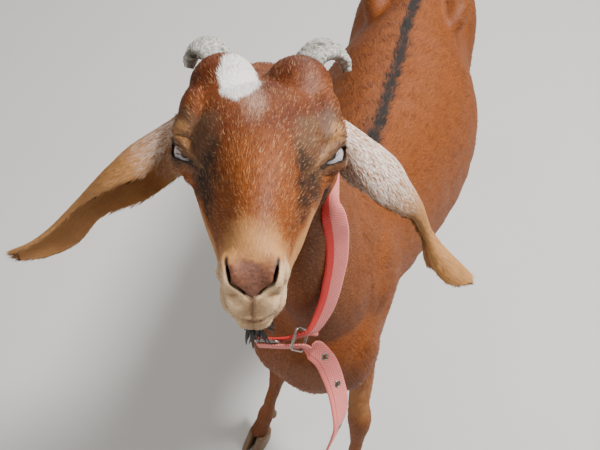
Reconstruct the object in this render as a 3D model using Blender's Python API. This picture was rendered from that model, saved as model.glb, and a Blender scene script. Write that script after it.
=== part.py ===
"""A standing doe goat with hanging ears, roman nose, cut horn stubs and a webbing collar.

Metres, Z up, the goat faces -Y and its left side is +X.  The body is shaped whole from
lofted stations and rounded masses, then parted where a person names its parts.
"""
import math
import random

import bmesh
import bpy
import numpy as np
from mathutils import Matrix, Vector

# sizes of the whole animal
GAP = 0.0003
BODY_VOXEL = 0.005
HEAD_VOXEL = 0.0021
BODY_FACES = 4800
HEAD_FACES = 2900
RING = 36

# trunk stations: y, middle, left half width, right half width, widest height, top, bottom,
# upper power, lower power
TRUNK = [
    (-0.098, -0.018, 0.028, 0.028, 0.560, 0.610, 0.520, 2.0, 2.0),
    (-0.080, -0.018, 0.058, 0.058, 0.556, 0.645, 0.462, 2.0, 2.0),
    (-0.045, -0.018, 0.078, 0.078, 0.550, 0.680, 0.416, 2.0, 2.0),
    (0.010, -0.018, 0.087, 0.087, 0.560, 0.722, 0.392, 1.9, 1.9),
    (0.080, -0.015, 0.090, 0.093, 0.575, 0.750, 0.382, 1.75, 1.9),
    (0.160, -0.008, 0.109, 0.113, 0.560, 0.744, 0.376, 1.8, 2.0),
    (0.250, -0.001, 0.130, 0.133, 0.515, 0.730, 0.366, 1.9, 2.2),
    (0.340, 0.003, 0.149, 0.148, 0.492, 0.724, 0.357, 2.0, 2.3),
    (0.430, 0.004, 0.156, 0.152, 0.488, 0.724, 0.354, 1.95, 2.3),
    (0.510, 0.002, 0.146, 0.139, 0.488, 0.729, 0.372, 1.62, 2.2),
    (0.575, 0.000, 0.120, 0.115, 0.520, 0.737, 0.408, 1.65, 2.2),
    (0.640, 0.000, 0.103, 0.101, 0.555, 0.727, 0.446, 1.9, 2.2),
    (0.700, 0.000, 0.084, 0.083, 0.580, 0.703, 0.485, 2.0, 2.3),
    (0.740, 0.000, 0.058, 0.058, 0.600, 0.672, 0.530, 2.0, 2.3),
    (0.758, 0.000, 0.026, 0.026, 0.610, 0.640, 0.580, 2.0, 2.3),
]
# neck stations: x, y, z of the axis, half width, half depth
NECK = [
    (-0.013, 0.052, 0.560, 0.080, 0.128),
    (-0.014, 0.034, 0.625, 0.071, 0.120),
    (-0.015, 0.012, 0.695, 0.063, 0.098),
    (-0.028, -0.012, 0.765, 0.053, 0.081),
    (-0.040, -0.028, 0.835, 0.048, 0.069),
    (-0.051, -0.037, 0.900, 0.046, 0.062),
    (-0.060, -0.041, 0.955, 0.041, 0.054),
    (-0.063, -0.043, 0.975, 0.026, 0.034),
]

# the head's own frame, centred between the eyes: along the face, to its left, upward, in cm
HEAD_PLACE = Vector((-0.0528, -0.0977, 0.9880))
HEAD_TURN = math.radians(16.8)
HEAD_LIFT = math.radians(15)
HEAD_ROLL = math.radians(2)
# skull stations: along, half width, widest height, top, bottom, upper power, lower power
SKULL = [
    (-10.2, 1.2, 0.6, 1.8, -1.2, 2.0, 2.0),
    (-9.4, 3.2, 0.8, 2.9, -3.6, 2.0, 2.0),
    (-8.0, 4.2, 0.9, 3.1, -5.6, 2.2, 2.0),
    (-6.0, 4.9, 1.5, 3.5, -7.0, 2.5, 1.9),
    (-4.0, 5.4, 1.4, 4.1, -7.6, 2.5, 1.8),
    (-2.0, 5.6, 1.0, 4.6, -7.7, 2.4, 1.8),
    (0.0, 5.2, 0.0, 4.7, -7.5, 2.3, 1.8),
    (2.0, 4.95, -0.4, 4.55, -7.2, 2.2, 1.8),
    (4.0, 4.25, -0.9, 4.25, -6.8, 2.1, 1.9),
    (6.0, 3.5, -1.4, 3.7, -6.4, 2.1, 2.1),
    (8.0, 2.72, -2.0, 2.85, -6.0, 2.1, 2.2),
    (9.8, 2.28, -2.5, 1.6, -5.9, 2.1, 2.2),
    (11.2, 1.95, -2.6, 0.45, -5.6, 2.2, 2.0),
    (12.2, 1.45, -2.8, -0.8, -5.0, 2.1, 2.0),
    (12.6, 0.7, -3.0, -1.9, -4.2, 2.0, 2.0),
]
# rounded masses of one side of the head: along, out, up, then the three radii
HEAD_MASSES = [
    (-4.6, 2.80, 2.9, 3.1, 2.75, 2.60),
    (-2.3, 4.55, 1.9, 2.9, 1.55, 2.20),
    (-0.9, 4.65, 1.25, 2.40, 1.78, 1.75),
    (0.65, 4.75, 0.50, 1.66, 1.66, 1.66),
    (-0.2, 4.45, -0.80, 2.60, 1.45, 1.50),
    (-2.6, 3.15, -3.4, 3.9, 1.75, 3.6),
    (11.00, 1.15, -1.15, 1.50, 1.12, 1.45),
    (11.15, 0.98, -2.95, 1.55, 1.12, 1.35),
    (10.50, 0.40, -5.05, 1.75, 1.05, 1.00),
]
EYE = (0.65, 4.75, 0.50)
EYE_RADIUS = 1.38
# the lids' opening: its facing and its long way in the head's frame, and its three half sizes
LID_FACING = (0.52, 0.80, 0.30)
LID_LONG = (0.81, -0.57, 0.12)
# the opening's two rounds, over the ball and in the front corner: out, along, over, half sizes
LID_CUTS = [
    (1.50, -0.20, -0.06, (0.86, 0.55, 1.25)),
    (1.42, 0.80, 0.10, (0.66, 0.22, 0.80)),
]
MOUTH_HEIGHT = -4.45
MOUTH_CUT = 0.075
MOUTH_BACK = 6.6

# legs: x, y, z, half width, half depth, from inside the body down to the hoof's top
LEG_FRONT_L = [
    (0.038, 0.030, 0.600, 0.034, 0.070),
    (0.040, 0.045, 0.500, 0.032, 0.062),
    (0.045, 0.036, 0.445, 0.027, 0.046),
    (0.053, 0.010, 0.385, 0.0220, 0.0330),
    (0.060, -0.020, 0.320, 0.0200, 0.0235),
    (0.067, -0.034, 0.280, 0.0225, 0.0245),
    (0.070, -0.040, 0.250, 0.0210, 0.0215),
    (0.072, -0.050, 0.200, 0.0150, 0.0165),
    (0.073, -0.063, 0.130, 0.0145, 0.0165),
    (0.073, -0.071, 0.095, 0.0190, 0.0205),
    (0.073, -0.076, 0.075, 0.0180, 0.0185),
    (0.073, -0.087, 0.052, 0.0195, 0.0195),
    (0.073, -0.096, 0.034, 0.0210, 0.0220),
]
LEG_FRONT_R = [
    (-0.074, 0.045, 0.600, 0.036, 0.070),
    (-0.078, 0.060, 0.500, 0.035, 0.062),
    (-0.079, 0.056, 0.445, 0.030, 0.047),
    (-0.082, 0.044, 0.385, 0.0245, 0.034),
    (-0.088, 0.029, 0.320, 0.0205, 0.0235),
    (-0.092, 0.020, 0.280, 0.0235, 0.0245),
    (-0.095, 0.013, 0.250, 0.0200, 0.0215),
    (-0.101, 0.002, 0.200, 0.0145, 0.0165),
    (-0.111, -0.012, 0.130, 0.0145, 0.0165),
    (-0.116, -0.020, 0.095, 0.0190, 0.0205),
    (-0.119, -0.025, 0.075, 0.0180, 0.0185),
    (-0.123, -0.036, 0.052, 0.0195, 0.0195),
    (-0.126, -0.045, 0.034, 0.0210, 0.0220),
]
LEG_HIND = [
    (0.068, 0.625, 0.600, 0.048, 0.105),
    (0.080, 0.600, 0.510, 0.045, 0.098),
    (0.085, 0.590, 0.440, 0.038, 0.072),
    (0.083, 0.625, 0.375, 0.029, 0.050),
    (0.079, 0.668, 0.305, 0.0215, 0.032),
    (0.076, 0.696, 0.252, 0.0225, 0.0315),
    (0.075, 0.699, 0.215, 0.0190, 0.0240),
    (0.074, 0.694, 0.165, 0.0155, 0.0185),
    (0.074, 0.686, 0.120, 0.0155, 0.0185),
    (0.074, 0.681, 0.093, 0.0195, 0.0215),
    (0.075, 0.675, 0.074, 0.0180, 0.0190),
    (0.076, 0.663, 0.052, 0.0195, 0.0195),
    (0.076, 0.654, 0.034, 0.0210, 0.0220),
]
HIND_STEP = -0.045
# the chest stands a little to the right of the line through the hips
CHEST_ASIDE = -0.018
CORONET = 0.040
CORONET_TILT = math.radians(24)
CLAW_LENGTH = 0.034
CLAW_WIDTH = 0.0195
CLEFT = 0.0040

# muscle and bone masses of one side of the trunk: x, y, z, radii, and the tilt about X in degrees
TRUNK_MASSES = [
    (0.053, 0.055, 0.600, 0.040, 0.075, 0.130, 18),
    (0.052, -0.035, 0.555, 0.036, 0.050, 0.080, -10),
    (0.056, 0.060, 0.490, 0.034, 0.066, 0.070, 0),
    (0.070, 0.620, 0.555, 0.050, 0.105, 0.125, -12),
    (0.072, 0.560, 0.690, 0.026, 0.045, 0.030, 0),
    (0.042, 0.722, 0.640, 0.024, 0.030, 0.030, 0),
    (0.028, 0.622, 0.428, 0.034, 0.050, 0.040, 0),
    (0.026, 0.602, 0.392, 0.0085, 0.0085, 0.018, 0),
]

TAIL = [
    (0.000, 0.700, 0.690, 0.022, 0.018),
    (0.000, 0.750, 0.707, 0.019, 0.015),
    (0.000, 0.790, 0.716, 0.015, 0.012),
    (0.001, 0.822, 0.712, 0.012, 0.009),
    (0.002, 0.846, 0.698, 0.008, 0.006),
]
TAIL_CUT = 0.762

# ears: root place in the head's frame in cm, tips in metres, in the model's frame
EAR_ROOT = (-3.9, 5.15, 0.35)
EAR_STEPS = 15
EAR_ARC = 9
EAR_SUNK = 6
EAR_PLUG = 0.013
EAR_SLIT = 0.15
EAR_THICK = 0.0030

# colours read from the photo, linear values
BAY = (0.335, 0.130, 0.048)
BAY_DARK = (0.145, 0.040, 0.016)
CREAM = (0.640, 0.440, 0.260)
EAR_TAN = (0.480, 0.290, 0.165)
HORN_GREY = (0.440, 0.410, 0.360)
HOOF_BROWN = (0.130, 0.080, 0.050)
EYE_PALE = (0.480, 0.520, 0.520)
BEARD_DARK = (0.030, 0.018, 0.014)
TAIL_DARK = (0.045, 0.022, 0.014)
STRAP_PINK = (0.780, 0.330, 0.300)
STEEL = (0.560, 0.550, 0.530)


def clear_scene():
    for item in list(bpy.data.objects):
        bpy.data.objects.remove(item, do_unlink=True)


def material(name, colour, rough, metal=0.0):
    made = bpy.data.materials.new(name)
    made.use_nodes = True
    shader = made.node_tree.nodes["Principled BSDF"]
    shader.inputs["Base Color"].default_value = (*colour, 1.0)
    shader.inputs["Roughness"].default_value = rough
    shader.inputs["Metallic"].default_value = metal
    return made


def add_object(name, verts, faces):
    mesh = bpy.data.meshes.new(name)
    mesh.from_pydata([tuple(v) for v in verts], [], faces)
    mesh.update()
    made = bpy.data.objects.new(name, mesh)
    bpy.context.scene.collection.objects.link(made)
    tidy_normals(made)
    return made


def tidy_normals(obj):
    work = bmesh.new()
    work.from_mesh(obj.data)
    bmesh.ops.recalc_face_normals(work, faces=work.faces)
    work.to_mesh(obj.data)
    work.free()


def loft(name, rings):
    """One closed skin through rings of points, each end closed by a fan."""
    count = len(rings[0])
    verts = [p for ring in rings for p in ring]
    faces = []
    for step in range(len(rings) - 1):
        for k in range(count):
            nxt = (k + 1) % count
            low = step * count
            faces.append((low + k, low + nxt, low + count + nxt))
            faces.append((low + k, low + count + nxt, low + count + k))
    for step in (0, len(rings) - 1):
        ring = rings[step]
        verts.append(sum((Vector(p) for p in ring), Vector()) / count)
        tip = len(verts) - 1
        for k in range(count):
            faces.append((tip, step * count + k, step * count + (k + 1) % count))
    return add_object(name, verts, faces)


def resample(rows, count):
    """Rows of numbers joined by a smooth curve and read again at even steps."""
    table = np.array(rows, float)
    last = len(table) - 1
    out = []
    for place in np.linspace(0, last, count):
        k = min(int(place), last - 1)
        u = place - k
        a = table[max(k - 1, 0)]
        b = table[k]
        c = table[k + 1]
        d = table[min(k + 2, last)]
        bend = (2 * a - 5 * b + 4 * c - d) * u * u + (3 * b - a - 3 * c + d) * u ** 3
        out.append(0.5 * (2 * b + (c - a) * u + bend))
    return out


def power(value, exponent):
    return math.copysign(abs(value) ** exponent, value)


def section(half_l, half_r, mid, top, low, up_power, low_power, count=RING):
    """Points of one cross-section as (sideways, upward) pairs."""
    out = []
    for k in range(count):
        angle = 2 * math.pi * k / count
        across = math.sin(angle)
        rise = math.cos(angle)
        expo = 2.0 / (up_power if rise > 0 else low_power)
        side = power(across, expo) * (half_l if across > 0 else half_r)
        reach = (top - mid) if rise > 0 else (mid - low)
        out.append((side, mid + power(rise, expo) * reach))
    return out


def tube(name, rows, count=20, across=Vector((1, 0, 0)), steps=None):
    """A skin of elliptic sections along a path of x, y, z, half width, half depth."""
    table = resample(rows, steps or 3 * len(rows))
    path = [Vector(row[:3]) for row in table]
    rings = []
    for k, row in enumerate(table):
        ahead = path[min(k + 1, len(path) - 1)] - path[max(k - 1, 0)]
        ahead.normalize()
        side = (across - ahead * across.dot(ahead)).normalized()
        depth = ahead.cross(side)
        ring = []
        for j in range(count):
            angle = 2 * math.pi * j / count
            ring.append(path[k] + side * row[3] * math.cos(angle) + depth * row[4] * math.sin(angle))
        rings.append(ring)
    return loft(name, rings)


def ball(name, place, radii, turn=None, detail=3):
    work = bmesh.new()
    bmesh.ops.create_icosphere(work, subdivisions=detail, radius=1.0)
    frame = Matrix.Translation(Vector(place))
    if turn is not None:
        frame = frame @ turn.to_4x4()
    frame = frame @ Matrix.Diagonal((*radii, 1.0))
    bmesh.ops.transform(work, matrix=frame, verts=work.verts)
    mesh = bpy.data.meshes.new(name)
    work.to_mesh(mesh)
    work.free()
    made = bpy.data.objects.new(name, mesh)
    bpy.context.scene.collection.objects.link(made)
    tidy_normals(made)
    return made


def bake(obj):
    """Replace an object's mesh by what its modifiers make of it."""
    graph = bpy.context.evaluated_depsgraph_get()
    mesh = bpy.data.meshes.new_from_object(obj.evaluated_get(graph))
    obj.modifiers.clear()
    obj.data = mesh
    return obj


def join(name, pieces):
    work = bmesh.new()
    for piece in pieces:
        work.from_mesh(piece.data)
        bpy.data.objects.remove(piece, do_unlink=True)
    mesh = bpy.data.meshes.new(name)
    work.to_mesh(mesh)
    work.free()
    made = bpy.data.objects.new(name, mesh)
    bpy.context.scene.collection.objects.link(made)
    return made


def fuse(name, pieces, voxel, rounds):
    """Melt closed pieces into one skin and ease the joints between them."""
    made = join(name, pieces)
    melt = made.modifiers.new("melt", "REMESH")
    melt.mode = "VOXEL"
    melt.voxel_size = voxel
    ease = made.modifiers.new("ease", "SMOOTH")
    ease.factor = 0.5
    ease.iterations = rounds
    return bake(made)


def thin_out(obj, faces):
    """Bring a skin down to a number of triangles, keeping its form."""
    now = sum(len(p.vertices) - 2 for p in obj.data.polygons)
    if now > faces:
        less = obj.modifiers.new("less", "DECIMATE")
        less.ratio = faces / now
        less.use_collapse_triangulate = True
        bake(obj)
    return obj


def boolean(obj, cutters, operation="DIFFERENCE", solver="EXACT"):
    """Cut, join or keep with several closed pieces in one operation."""
    bunch = bpy.data.collections.new("bunch")
    for cutter in cutters:
        bunch.objects.link(cutter)
    step = obj.modifiers.new("cut", "BOOLEAN")
    step.operation = operation
    step.operand_type = "COLLECTION"
    step.collection = bunch
    step.solver = solver
    bake(obj)
    for cutter in cutters:
        bpy.data.objects.remove(cutter, do_unlink=True)
    bpy.data.collections.remove(bunch)
    return keep_largest(obj)


def keep_largest(obj):
    """Keep only the largest closed surface."""
    work = bmesh.new()
    work.from_mesh(obj.data)
    bmesh.ops.triangulate(work, faces=work.faces)
    left = set(work.faces)
    groups = []
    while left:
        seed = left.pop()
        group = {seed}
        queue = [seed]
        while queue:
            for edge in queue.pop().edges:
                for face in edge.link_faces:
                    if face in left:
                        left.discard(face)
                        group.add(face)
                        queue.append(face)
        groups.append(group)
    groups.sort(key=lambda g: -sum(f.calc_area() for f in g))
    spare = [f for group in groups[1:] for f in group]
    bmesh.ops.delete(work, geom=spare, context="FACES")
    bmesh.ops.recalc_face_normals(work, faces=work.faces)
    work.to_mesh(obj.data)
    work.free()
    return obj


def copy_of(obj, name):
    made = bpy.data.objects.new(name, obj.data.copy())
    bpy.context.scene.collection.objects.link(made)
    return made


def slice_off(obj, point, normal):
    """Remove what lies beyond a plane and close the cut with flat faces."""
    work = bmesh.new()
    work.from_mesh(obj.data)
    geom = list(work.verts) + list(work.edges) + list(work.faces)
    bmesh.ops.bisect_plane(work, geom=geom, dist=1e-7, plane_co=point, plane_no=normal,
                           clear_outer=True)
    rim = [e for e in work.edges if e.is_boundary]
    bmesh.ops.triangle_fill(work, use_beauty=True, edges=rim, normal=normal)
    bmesh.ops.recalc_face_normals(work, faces=work.faces)
    work.to_mesh(obj.data)
    work.free()
    return keep_largest(obj)


def block(name, low, high):
    verts = [(x, y, z) for x in (low[0], high[0]) for y in (low[1], high[1]) for z in (low[2], high[2])]
    faces = [(0, 1, 3, 2), (4, 6, 7, 5), (0, 4, 5, 1), (2, 3, 7, 6), (0, 2, 6, 4), (1, 5, 7, 3)]
    return add_object(name, verts, faces)


# the head's frame
ALONG_FLAT = Vector((math.sin(HEAD_TURN), -math.cos(HEAD_TURN), 0))
LEFT_FLAT = Vector((math.cos(HEAD_TURN), math.sin(HEAD_TURN), 0))
UPWARD = Vector((0, 0, 1))
HEAD_A = ALONG_FLAT * math.cos(HEAD_LIFT) + UPWARD * math.sin(HEAD_LIFT)
HEAD_N0 = UPWARD * math.cos(HEAD_LIFT) - ALONG_FLAT * math.sin(HEAD_LIFT)
HEAD_L = LEFT_FLAT * math.cos(HEAD_ROLL) - HEAD_N0 * math.sin(HEAD_ROLL)
HEAD_N = HEAD_N0 * math.cos(HEAD_ROLL) + LEFT_FLAT * math.sin(HEAD_ROLL)
HEAD_TURNED = Matrix((HEAD_A, HEAD_L, HEAD_N)).transposed()


def on_head(s, t, h):
    """A place on the head, given in cm in the head's frame."""
    return HEAD_PLACE + 0.01 * (HEAD_A * s + HEAD_L * t + HEAD_N * h)


def head_ball(name, s, t, h, radii, turn=None, detail=3):
    spin = HEAD_TURNED if turn is None else HEAD_TURNED @ turn
    return ball(name, on_head(s, t, h), [0.01 * r for r in radii], spin, detail)


def trunk_pieces():
    rings = []
    for y, aside, left, right, mid, top, low, upper, lower in resample(TRUNK, 60):
        pairs = section(left, right, mid, top, low, upper, lower)
        rings.append([Vector((aside + x, y, z)) for x, z in pairs])
    pieces = [loft("trunk", rings)]
    for side in (1, -1):
        for x, y, z, rx, ry, rz, tilt in TRUNK_MASSES:
            turn = Matrix.Rotation(math.radians(tilt), 3, "X")
            aside = CHEST_ASIDE if y < 0.2 else 0.0
            pieces.append(ball("mass", (aside + side * x, y, z), (rx, ry, rz), turn))
    return pieces


def hind_leg(side):
    step = HIND_STEP if side < 0 else 0.0
    rows = []
    for k, (x, y, z, wide, deep) in enumerate(LEG_HIND):
        share = min(1.0, max(0.0, (0.5 - z) / 0.45))
        rows.append((side * x, y + step * share, z, wide, deep))
    return rows


def hock_point(side):
    rows = hind_leg(side)
    x, y, z = rows[5][:3]
    return ball("hock", (x, y + 0.020, z + 0.014), (0.011, 0.014, 0.024),
                Matrix.Rotation(math.radians(14), 3, "X"))


def skull_pieces():
    rings = []
    for s, wide, mid, top, low, upper, lower in resample(SKULL, 70):
        pairs = section(wide, wide, mid, top, low, upper, lower)
        rings.append([on_head(s, t, h) for t, h in pairs])
    pieces = [loft("skull", rings)]
    for side in (1, -1):
        for s, t, h, rs, rt, rh in HEAD_MASSES:
            pieces.append(head_ball("mass", s, side * t, h, (rs, rt, rh)))
        pieces.append(ear_boss(side))
    return pieces


def ear_boss(side):
    s, t, h = EAR_ROOT
    return head_ball("boss", s, side * (t - 1.1), h - 0.1, (2.1, 1.3, 2.0))


def neck_piece():
    return tube("neck_form", NECK, count=28)


def leg_rows():
    return {
        "leg_front_left": LEG_FRONT_L,
        "leg_front_right": LEG_FRONT_R,
        "leg_hind_left": hind_leg(1),
        "leg_hind_right": hind_leg(-1),
    }


# where the body is parted: planes as a place and a direction
NAPE_PLACE = on_head(-7.0, 0, -3.6)
NAPE_WAY = (HEAD_A * -0.83 + HEAD_N * -0.56).normalized()
BASE_PLACE = Vector((0, 0.0, 0.672))
BASE_WAY = Vector((0, -0.62, 0.785)).normalized()
# blocks holding each leg: inner x, front y, back y, top z
LEG_BLOCK = {
    "leg_front_left": (0.020, -0.20, 0.14, 0.400),
    "leg_front_right": (0.050, -0.20, 0.14, 0.400),
    "leg_hind_left": (0.050, 0.46, 0.80, 0.430),
    "leg_hind_right": (0.050, 0.46, 0.80, 0.430),
}


def leg_block(name, grow):
    side = 1 if name.endswith("left") else -1
    inner, front, back, top = LEG_BLOCK[name]
    xs = sorted((side * (inner - grow), side * 0.30))
    return block("leg_block", (xs[0], front - grow, -0.05), (xs[1], back + grow, top + grow))


def make_body(nodes):
    pieces = trunk_pieces() + [neck_piece()]
    for rows in leg_rows().values():
        pieces.append(tube("leg_form", rows))
    pieces += [hock_point(1), hock_point(-1)]
    pieces.append(tube("tail_form", TAIL, count=16))
    body = fuse("body", pieces, BODY_VOXEL, 11)
    thin_out(body, BODY_FACES)
    slice_off(body, NAPE_PLACE, -NAPE_WAY)
    neck = copy_of(body, "neck")
    slice_off(neck, BASE_PLACE, -BASE_WAY)
    slice_off(body, BASE_PLACE - BASE_WAY * GAP, BASE_WAY)
    tail = copy_of(body, "tail")
    slice_off(tail, Vector((0, TAIL_CUT, 0)), Vector((0, -1, 0)))
    slice_off(body, Vector((0, TAIL_CUT - GAP, 0)), Vector((0, 1, 0)))
    for name in leg_rows():
        leg = copy_of(body, name)
        boolean(leg, [leg_block(name, 0.0)], "INTERSECT")
        nodes[name] = leg
    boolean(body, [leg_block(name, GAP) for name in leg_rows()])
    body.name = "torso"
    nodes["torso"] = body
    nodes["neck"] = neck
    nodes["tail"] = tail


def foot_frame(rows):
    """Middle of the hoof's top and the way the foot points."""
    low = Vector(rows[-1][:3])
    before = Vector(rows[-3][:3])
    ahead = low - before
    ahead.z = 0
    ahead.normalize()
    share = (before.z - CORONET) / (before.z - low.z)
    return before.lerp(low, share), ahead


def make_feet(nodes):
    for name, rows in leg_rows().items():
        middle, ahead = foot_frame(rows)
        right = Vector((ahead.y, -ahead.x, 0))
        tip_way = ahead * math.sin(CORONET_TILT) - UPWARD * math.cos(CORONET_TILT)
        leg = nodes[name]
        slice_off(leg, middle, tip_way)
        for side, label in ((1, "outer"), (-1, "inner")):
            make_claw(nodes, name, label, side, middle, ahead, right, tip_way)
            make_dewclaw(nodes, name, label, side, rows, ahead, right)


def claw_outline(length, width, count=12):
    """Half an oval with a straight inner side, pointed a little at the toe."""
    out = []
    for k in range(count):
        angle = 2 * math.pi * k / count
        along = math.cos(angle)
        out_way = math.sin(angle)
        wide = width * (0.5 + 0.5 * power(out_way, 0.9))
        if along > 0:
            wide *= 1.0 - 0.22 * along ** 3
        out.append((length * power(along, 0.85), wide))
    return out


def make_claw(nodes, name, label, side, middle, ahead, right, tip_way):
    outer = 1 if name.endswith("left") else -1
    way = right * (1 if right.x > 0 else -1) * outer * side
    top = middle + tip_way * GAP
    across = tip_way.cross(way).normalized()
    if across.dot(ahead) < 0:
        across = -across
    rings = []
    for share, long_, wide, slide in ((0.0, 0.022, 0.0175, 0.0), (0.35, 0.0255, 0.0188, 0.006),
                                      (1.0, CLAW_LENGTH, CLAW_WIDTH, 0.018)):
        ring = []
        for along, out_way in claw_outline(long_, wide):
            high = top + across * along + way * (0.5 * CLEFT + out_way)
            flat = Vector((middle.x, middle.y, 0)) + ahead * (along + slide) + way * (0.5 * CLEFT + out_way)
            if share == 0.0:
                ring.append(high)
            else:
                start = top + across * along + way * (0.5 * CLEFT + out_way)
                start += ahead * slide
                ring.append(start.lerp(flat, share) if share < 1.0 else flat)
        rings.append(ring)
    nodes[name.replace("leg", "hoof") + "_" + label] = loft("claw", rings)


def make_dewclaw(nodes, name, label, side, rows, ahead, right):
    ankle = Vector(rows[-3][:3])
    outer = 1 if name.endswith("left") else -1
    way = right * (1 if right.x > 0 else -1) * outer * side
    place = ankle - ahead * 0.0185 + way * 0.0105
    turn = Matrix.Rotation(math.radians(-30), 3, "X")
    claw = ball("dew", place, (0.0062, 0.0080, 0.0105), turn, 1)
    room = ball("room", place, (0.0062 + GAP, 0.0080 + GAP, 0.0105 + GAP), turn, 1)
    boolean(nodes[name], [room])
    nodes[name.replace("leg", "dewclaw") + "_" + label] = claw


def ear_path(side):
    """Places along the ear's fold, from inside the head to the tip, and the fold's facing."""
    s, t, h = EAR_ROOT
    root = on_head(s - 0.1, side * (t + 0.5), h + 0.2)
    if side > 0:
        path = [root, Vector((0.0285, -0.0545, 0.9555)), Vector((0.0485, -0.0575, 0.9363)),
                Vector((0.0672, -0.0549, 0.9125)), Vector((0.0842, -0.0574, 0.8831)),
                Vector((0.1062, -0.0636, 0.8545)), Vector((0.1257, -0.0615, 0.8330))]
        face = [HEAD_A - HEAD_N * 0.5, HEAD_A - HEAD_N * 0.7, Vector((-0.30, -0.78, -0.55)),
                Vector((-0.37, -0.74, -0.55)), Vector((-0.40, -0.72, -0.55)), Vector((-0.45, -0.68, -0.55)),
                Vector((-0.45, -0.68, -0.55)), Vector((-0.30, -0.78, -0.55))]
    else:
        path = [root, Vector((-0.1438, -0.1000, 0.9618)), Vector((-0.1635, -0.1188, 0.9468)),
                Vector((-0.1904, -0.1375, 0.9265)), Vector((-0.2132, -0.1547, 0.9017)),
                Vector((-0.2351, -0.1688, 0.8879)), Vector((-0.2561, -0.1759, 0.8788))]
        face = [HEAD_A - HEAD_N * 0.4, HEAD_A - HEAD_N * 0.6, Vector((0.42, -0.70, -0.50)),
                Vector((0.45, -0.78, -0.38)), Vector((0.42, -0.84, -0.25)), Vector((0.37, -0.90, -0.15)),
                Vector((0.37, -0.92, -0.10)), Vector((0.37, -0.93, -0.08))]
    inside = root + (root - path[1]).normalized() * EAR_PLUG
    return [inside] + path, face


# half width of the flattened ear and the angle it is folded through, root to tip
EAR_HALF_LEFT = (0.0150, 0.0230, 0.0500, 0.0390, 0.0200, 0.0132, 0.0300, 0.0135)
EAR_HALF_RIGHT = (0.0150, 0.0230, 0.0470, 0.0396, 0.0205, 0.0200, 0.0148, 0.0085)
EAR_FOLD_LEFT = (330, 300, 235, 225, 235, 280, 230, 120)
EAR_FOLD_RIGHT = (330, 290, 205, 190, 180, 170, 160, 140)


def ear_rings(side, extra=0.0, upto=None):
    path, face = ear_path(side)
    folds = EAR_FOLD_LEFT if side > 0 else EAR_FOLD_RIGHT
    halves = EAR_HALF_LEFT if side > 0 else EAR_HALF_RIGHT
    rows = [(*p, *f, half, fold) for p, f, half, fold in zip(path, face, halves, folds)]
    table = resample(rows, EAR_STEPS)
    places = [Vector(row[:3]) for row in table]
    rings = []
    for k, row in enumerate(table):
        ahead = (places[min(k + 1, len(places) - 1)] - places[max(k - 1, 0)]).normalized()
        front = Vector(row[3:6])
        front = (front - ahead * front.dot(ahead)).normalized()
        across = ahead.cross(front)
        fold = math.radians(row[7])
        radius = 2 * row[6] / fold
        thick = EAR_THICK
        centre = places[k] + front * radius * 0.5
        if k == 0:
            centre -= ahead * extra
        outer = []
        inner = []
        for j in range(EAR_ARC):
            share = j / (EAR_ARC - 1) - 0.5
            angle = share * fold
            edge = 1.0 - 0.55 * abs(2 * share) ** 4
            way = across * math.sin(angle) - front * math.cos(angle)
            outer.append(centre + way * (radius + 0.5 * thick * edge + extra))
            inner.append(centre + way * (radius - 0.5 * thick * edge - extra))
        if extra == 0:
            rings.append(outer + inner[::-1])
        else:
            ends = []
            for angle in (0.5 * fold + EAR_SLIT, -0.5 * fold - EAR_SLIT):
                way = across * math.sin(angle) - front * math.cos(angle)
                ends.append(centre + way * (radius + 0.5 * thick + extra))
            rings.append(outer + ends)
        if upto is not None and k >= upto:
            break
    return rings


# clearance of the ear in the head
EAR_ROOM = 1.1 * GAP


def make_ears(nodes):
    for side, label in ((1, "left"), (-1, "right")):
        rings = ear_rings(side)
        nodes["ear_" + label] = loft("ear", rings)
        room = ear_rings(side, EAR_ROOM, EAR_SUNK)
        for k in range(0, EAR_SUNK, 2):
            boolean(nodes["head"], [loft("ear_room", room[k:k + 3])])


# the left horn reaches farther out by this share
HORN_REACH_LEFT = 1.28
# horn caps: along, out and up in the head's frame, half width, half depth, in cm
HORN_ROWS = [
    (-6.0, 2.8, 2.4, 1.30, 0.90),
    (-7.0, 3.3, 3.9, 1.55, 0.88),
    (-7.8, 4.1, 4.7, 1.55, 0.80),
    (-8.1, 5.0, 4.6, 1.40, 0.72),
    (-7.9, 5.65, 3.9, 1.05, 0.58),
    (-7.5, 5.85, 3.1, 0.55, 0.36),
]


def horn_rows(side, extra=0.0):
    rows = []
    reach = HORN_REACH_LEFT if side > 0 else 1.0
    root = HORN_ROWS[0][1]
    for k, (s, t, h, wide, deep) in enumerate(HORN_ROWS):
        out_way = root + reach * (t - root)
        place = on_head(s, side * out_way, h - (100 * extra if k == 0 else 0))
        rows.append((*place, 0.01 * wide + extra, 0.01 * deep + extra))
    return rows


def make_horns(nodes):
    for side, label in ((1, "left"), (-1, "right")):
        across = (HEAD_A * 0.94 + HEAD_L * side * 0.34).normalized()
        nodes["horn_" + label] = tube("horn", horn_rows(side), 12, across, 8)
        room = tube("horn_room", horn_rows(side, GAP), 12, across, 8)
        boolean(nodes["head"], [room])


def lid_frame(side):
    """Facing, long way and high way of the opening between the lids, in the head's frame."""
    facing = Vector((LID_FACING[0], side * LID_FACING[1], LID_FACING[2])).normalized()
    long_way = Vector((LID_LONG[0], side * LID_LONG[1], LID_LONG[2]))
    long_way = (long_way - facing * long_way.dot(facing)).normalized()
    return facing, long_way, facing.cross(long_way)


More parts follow.
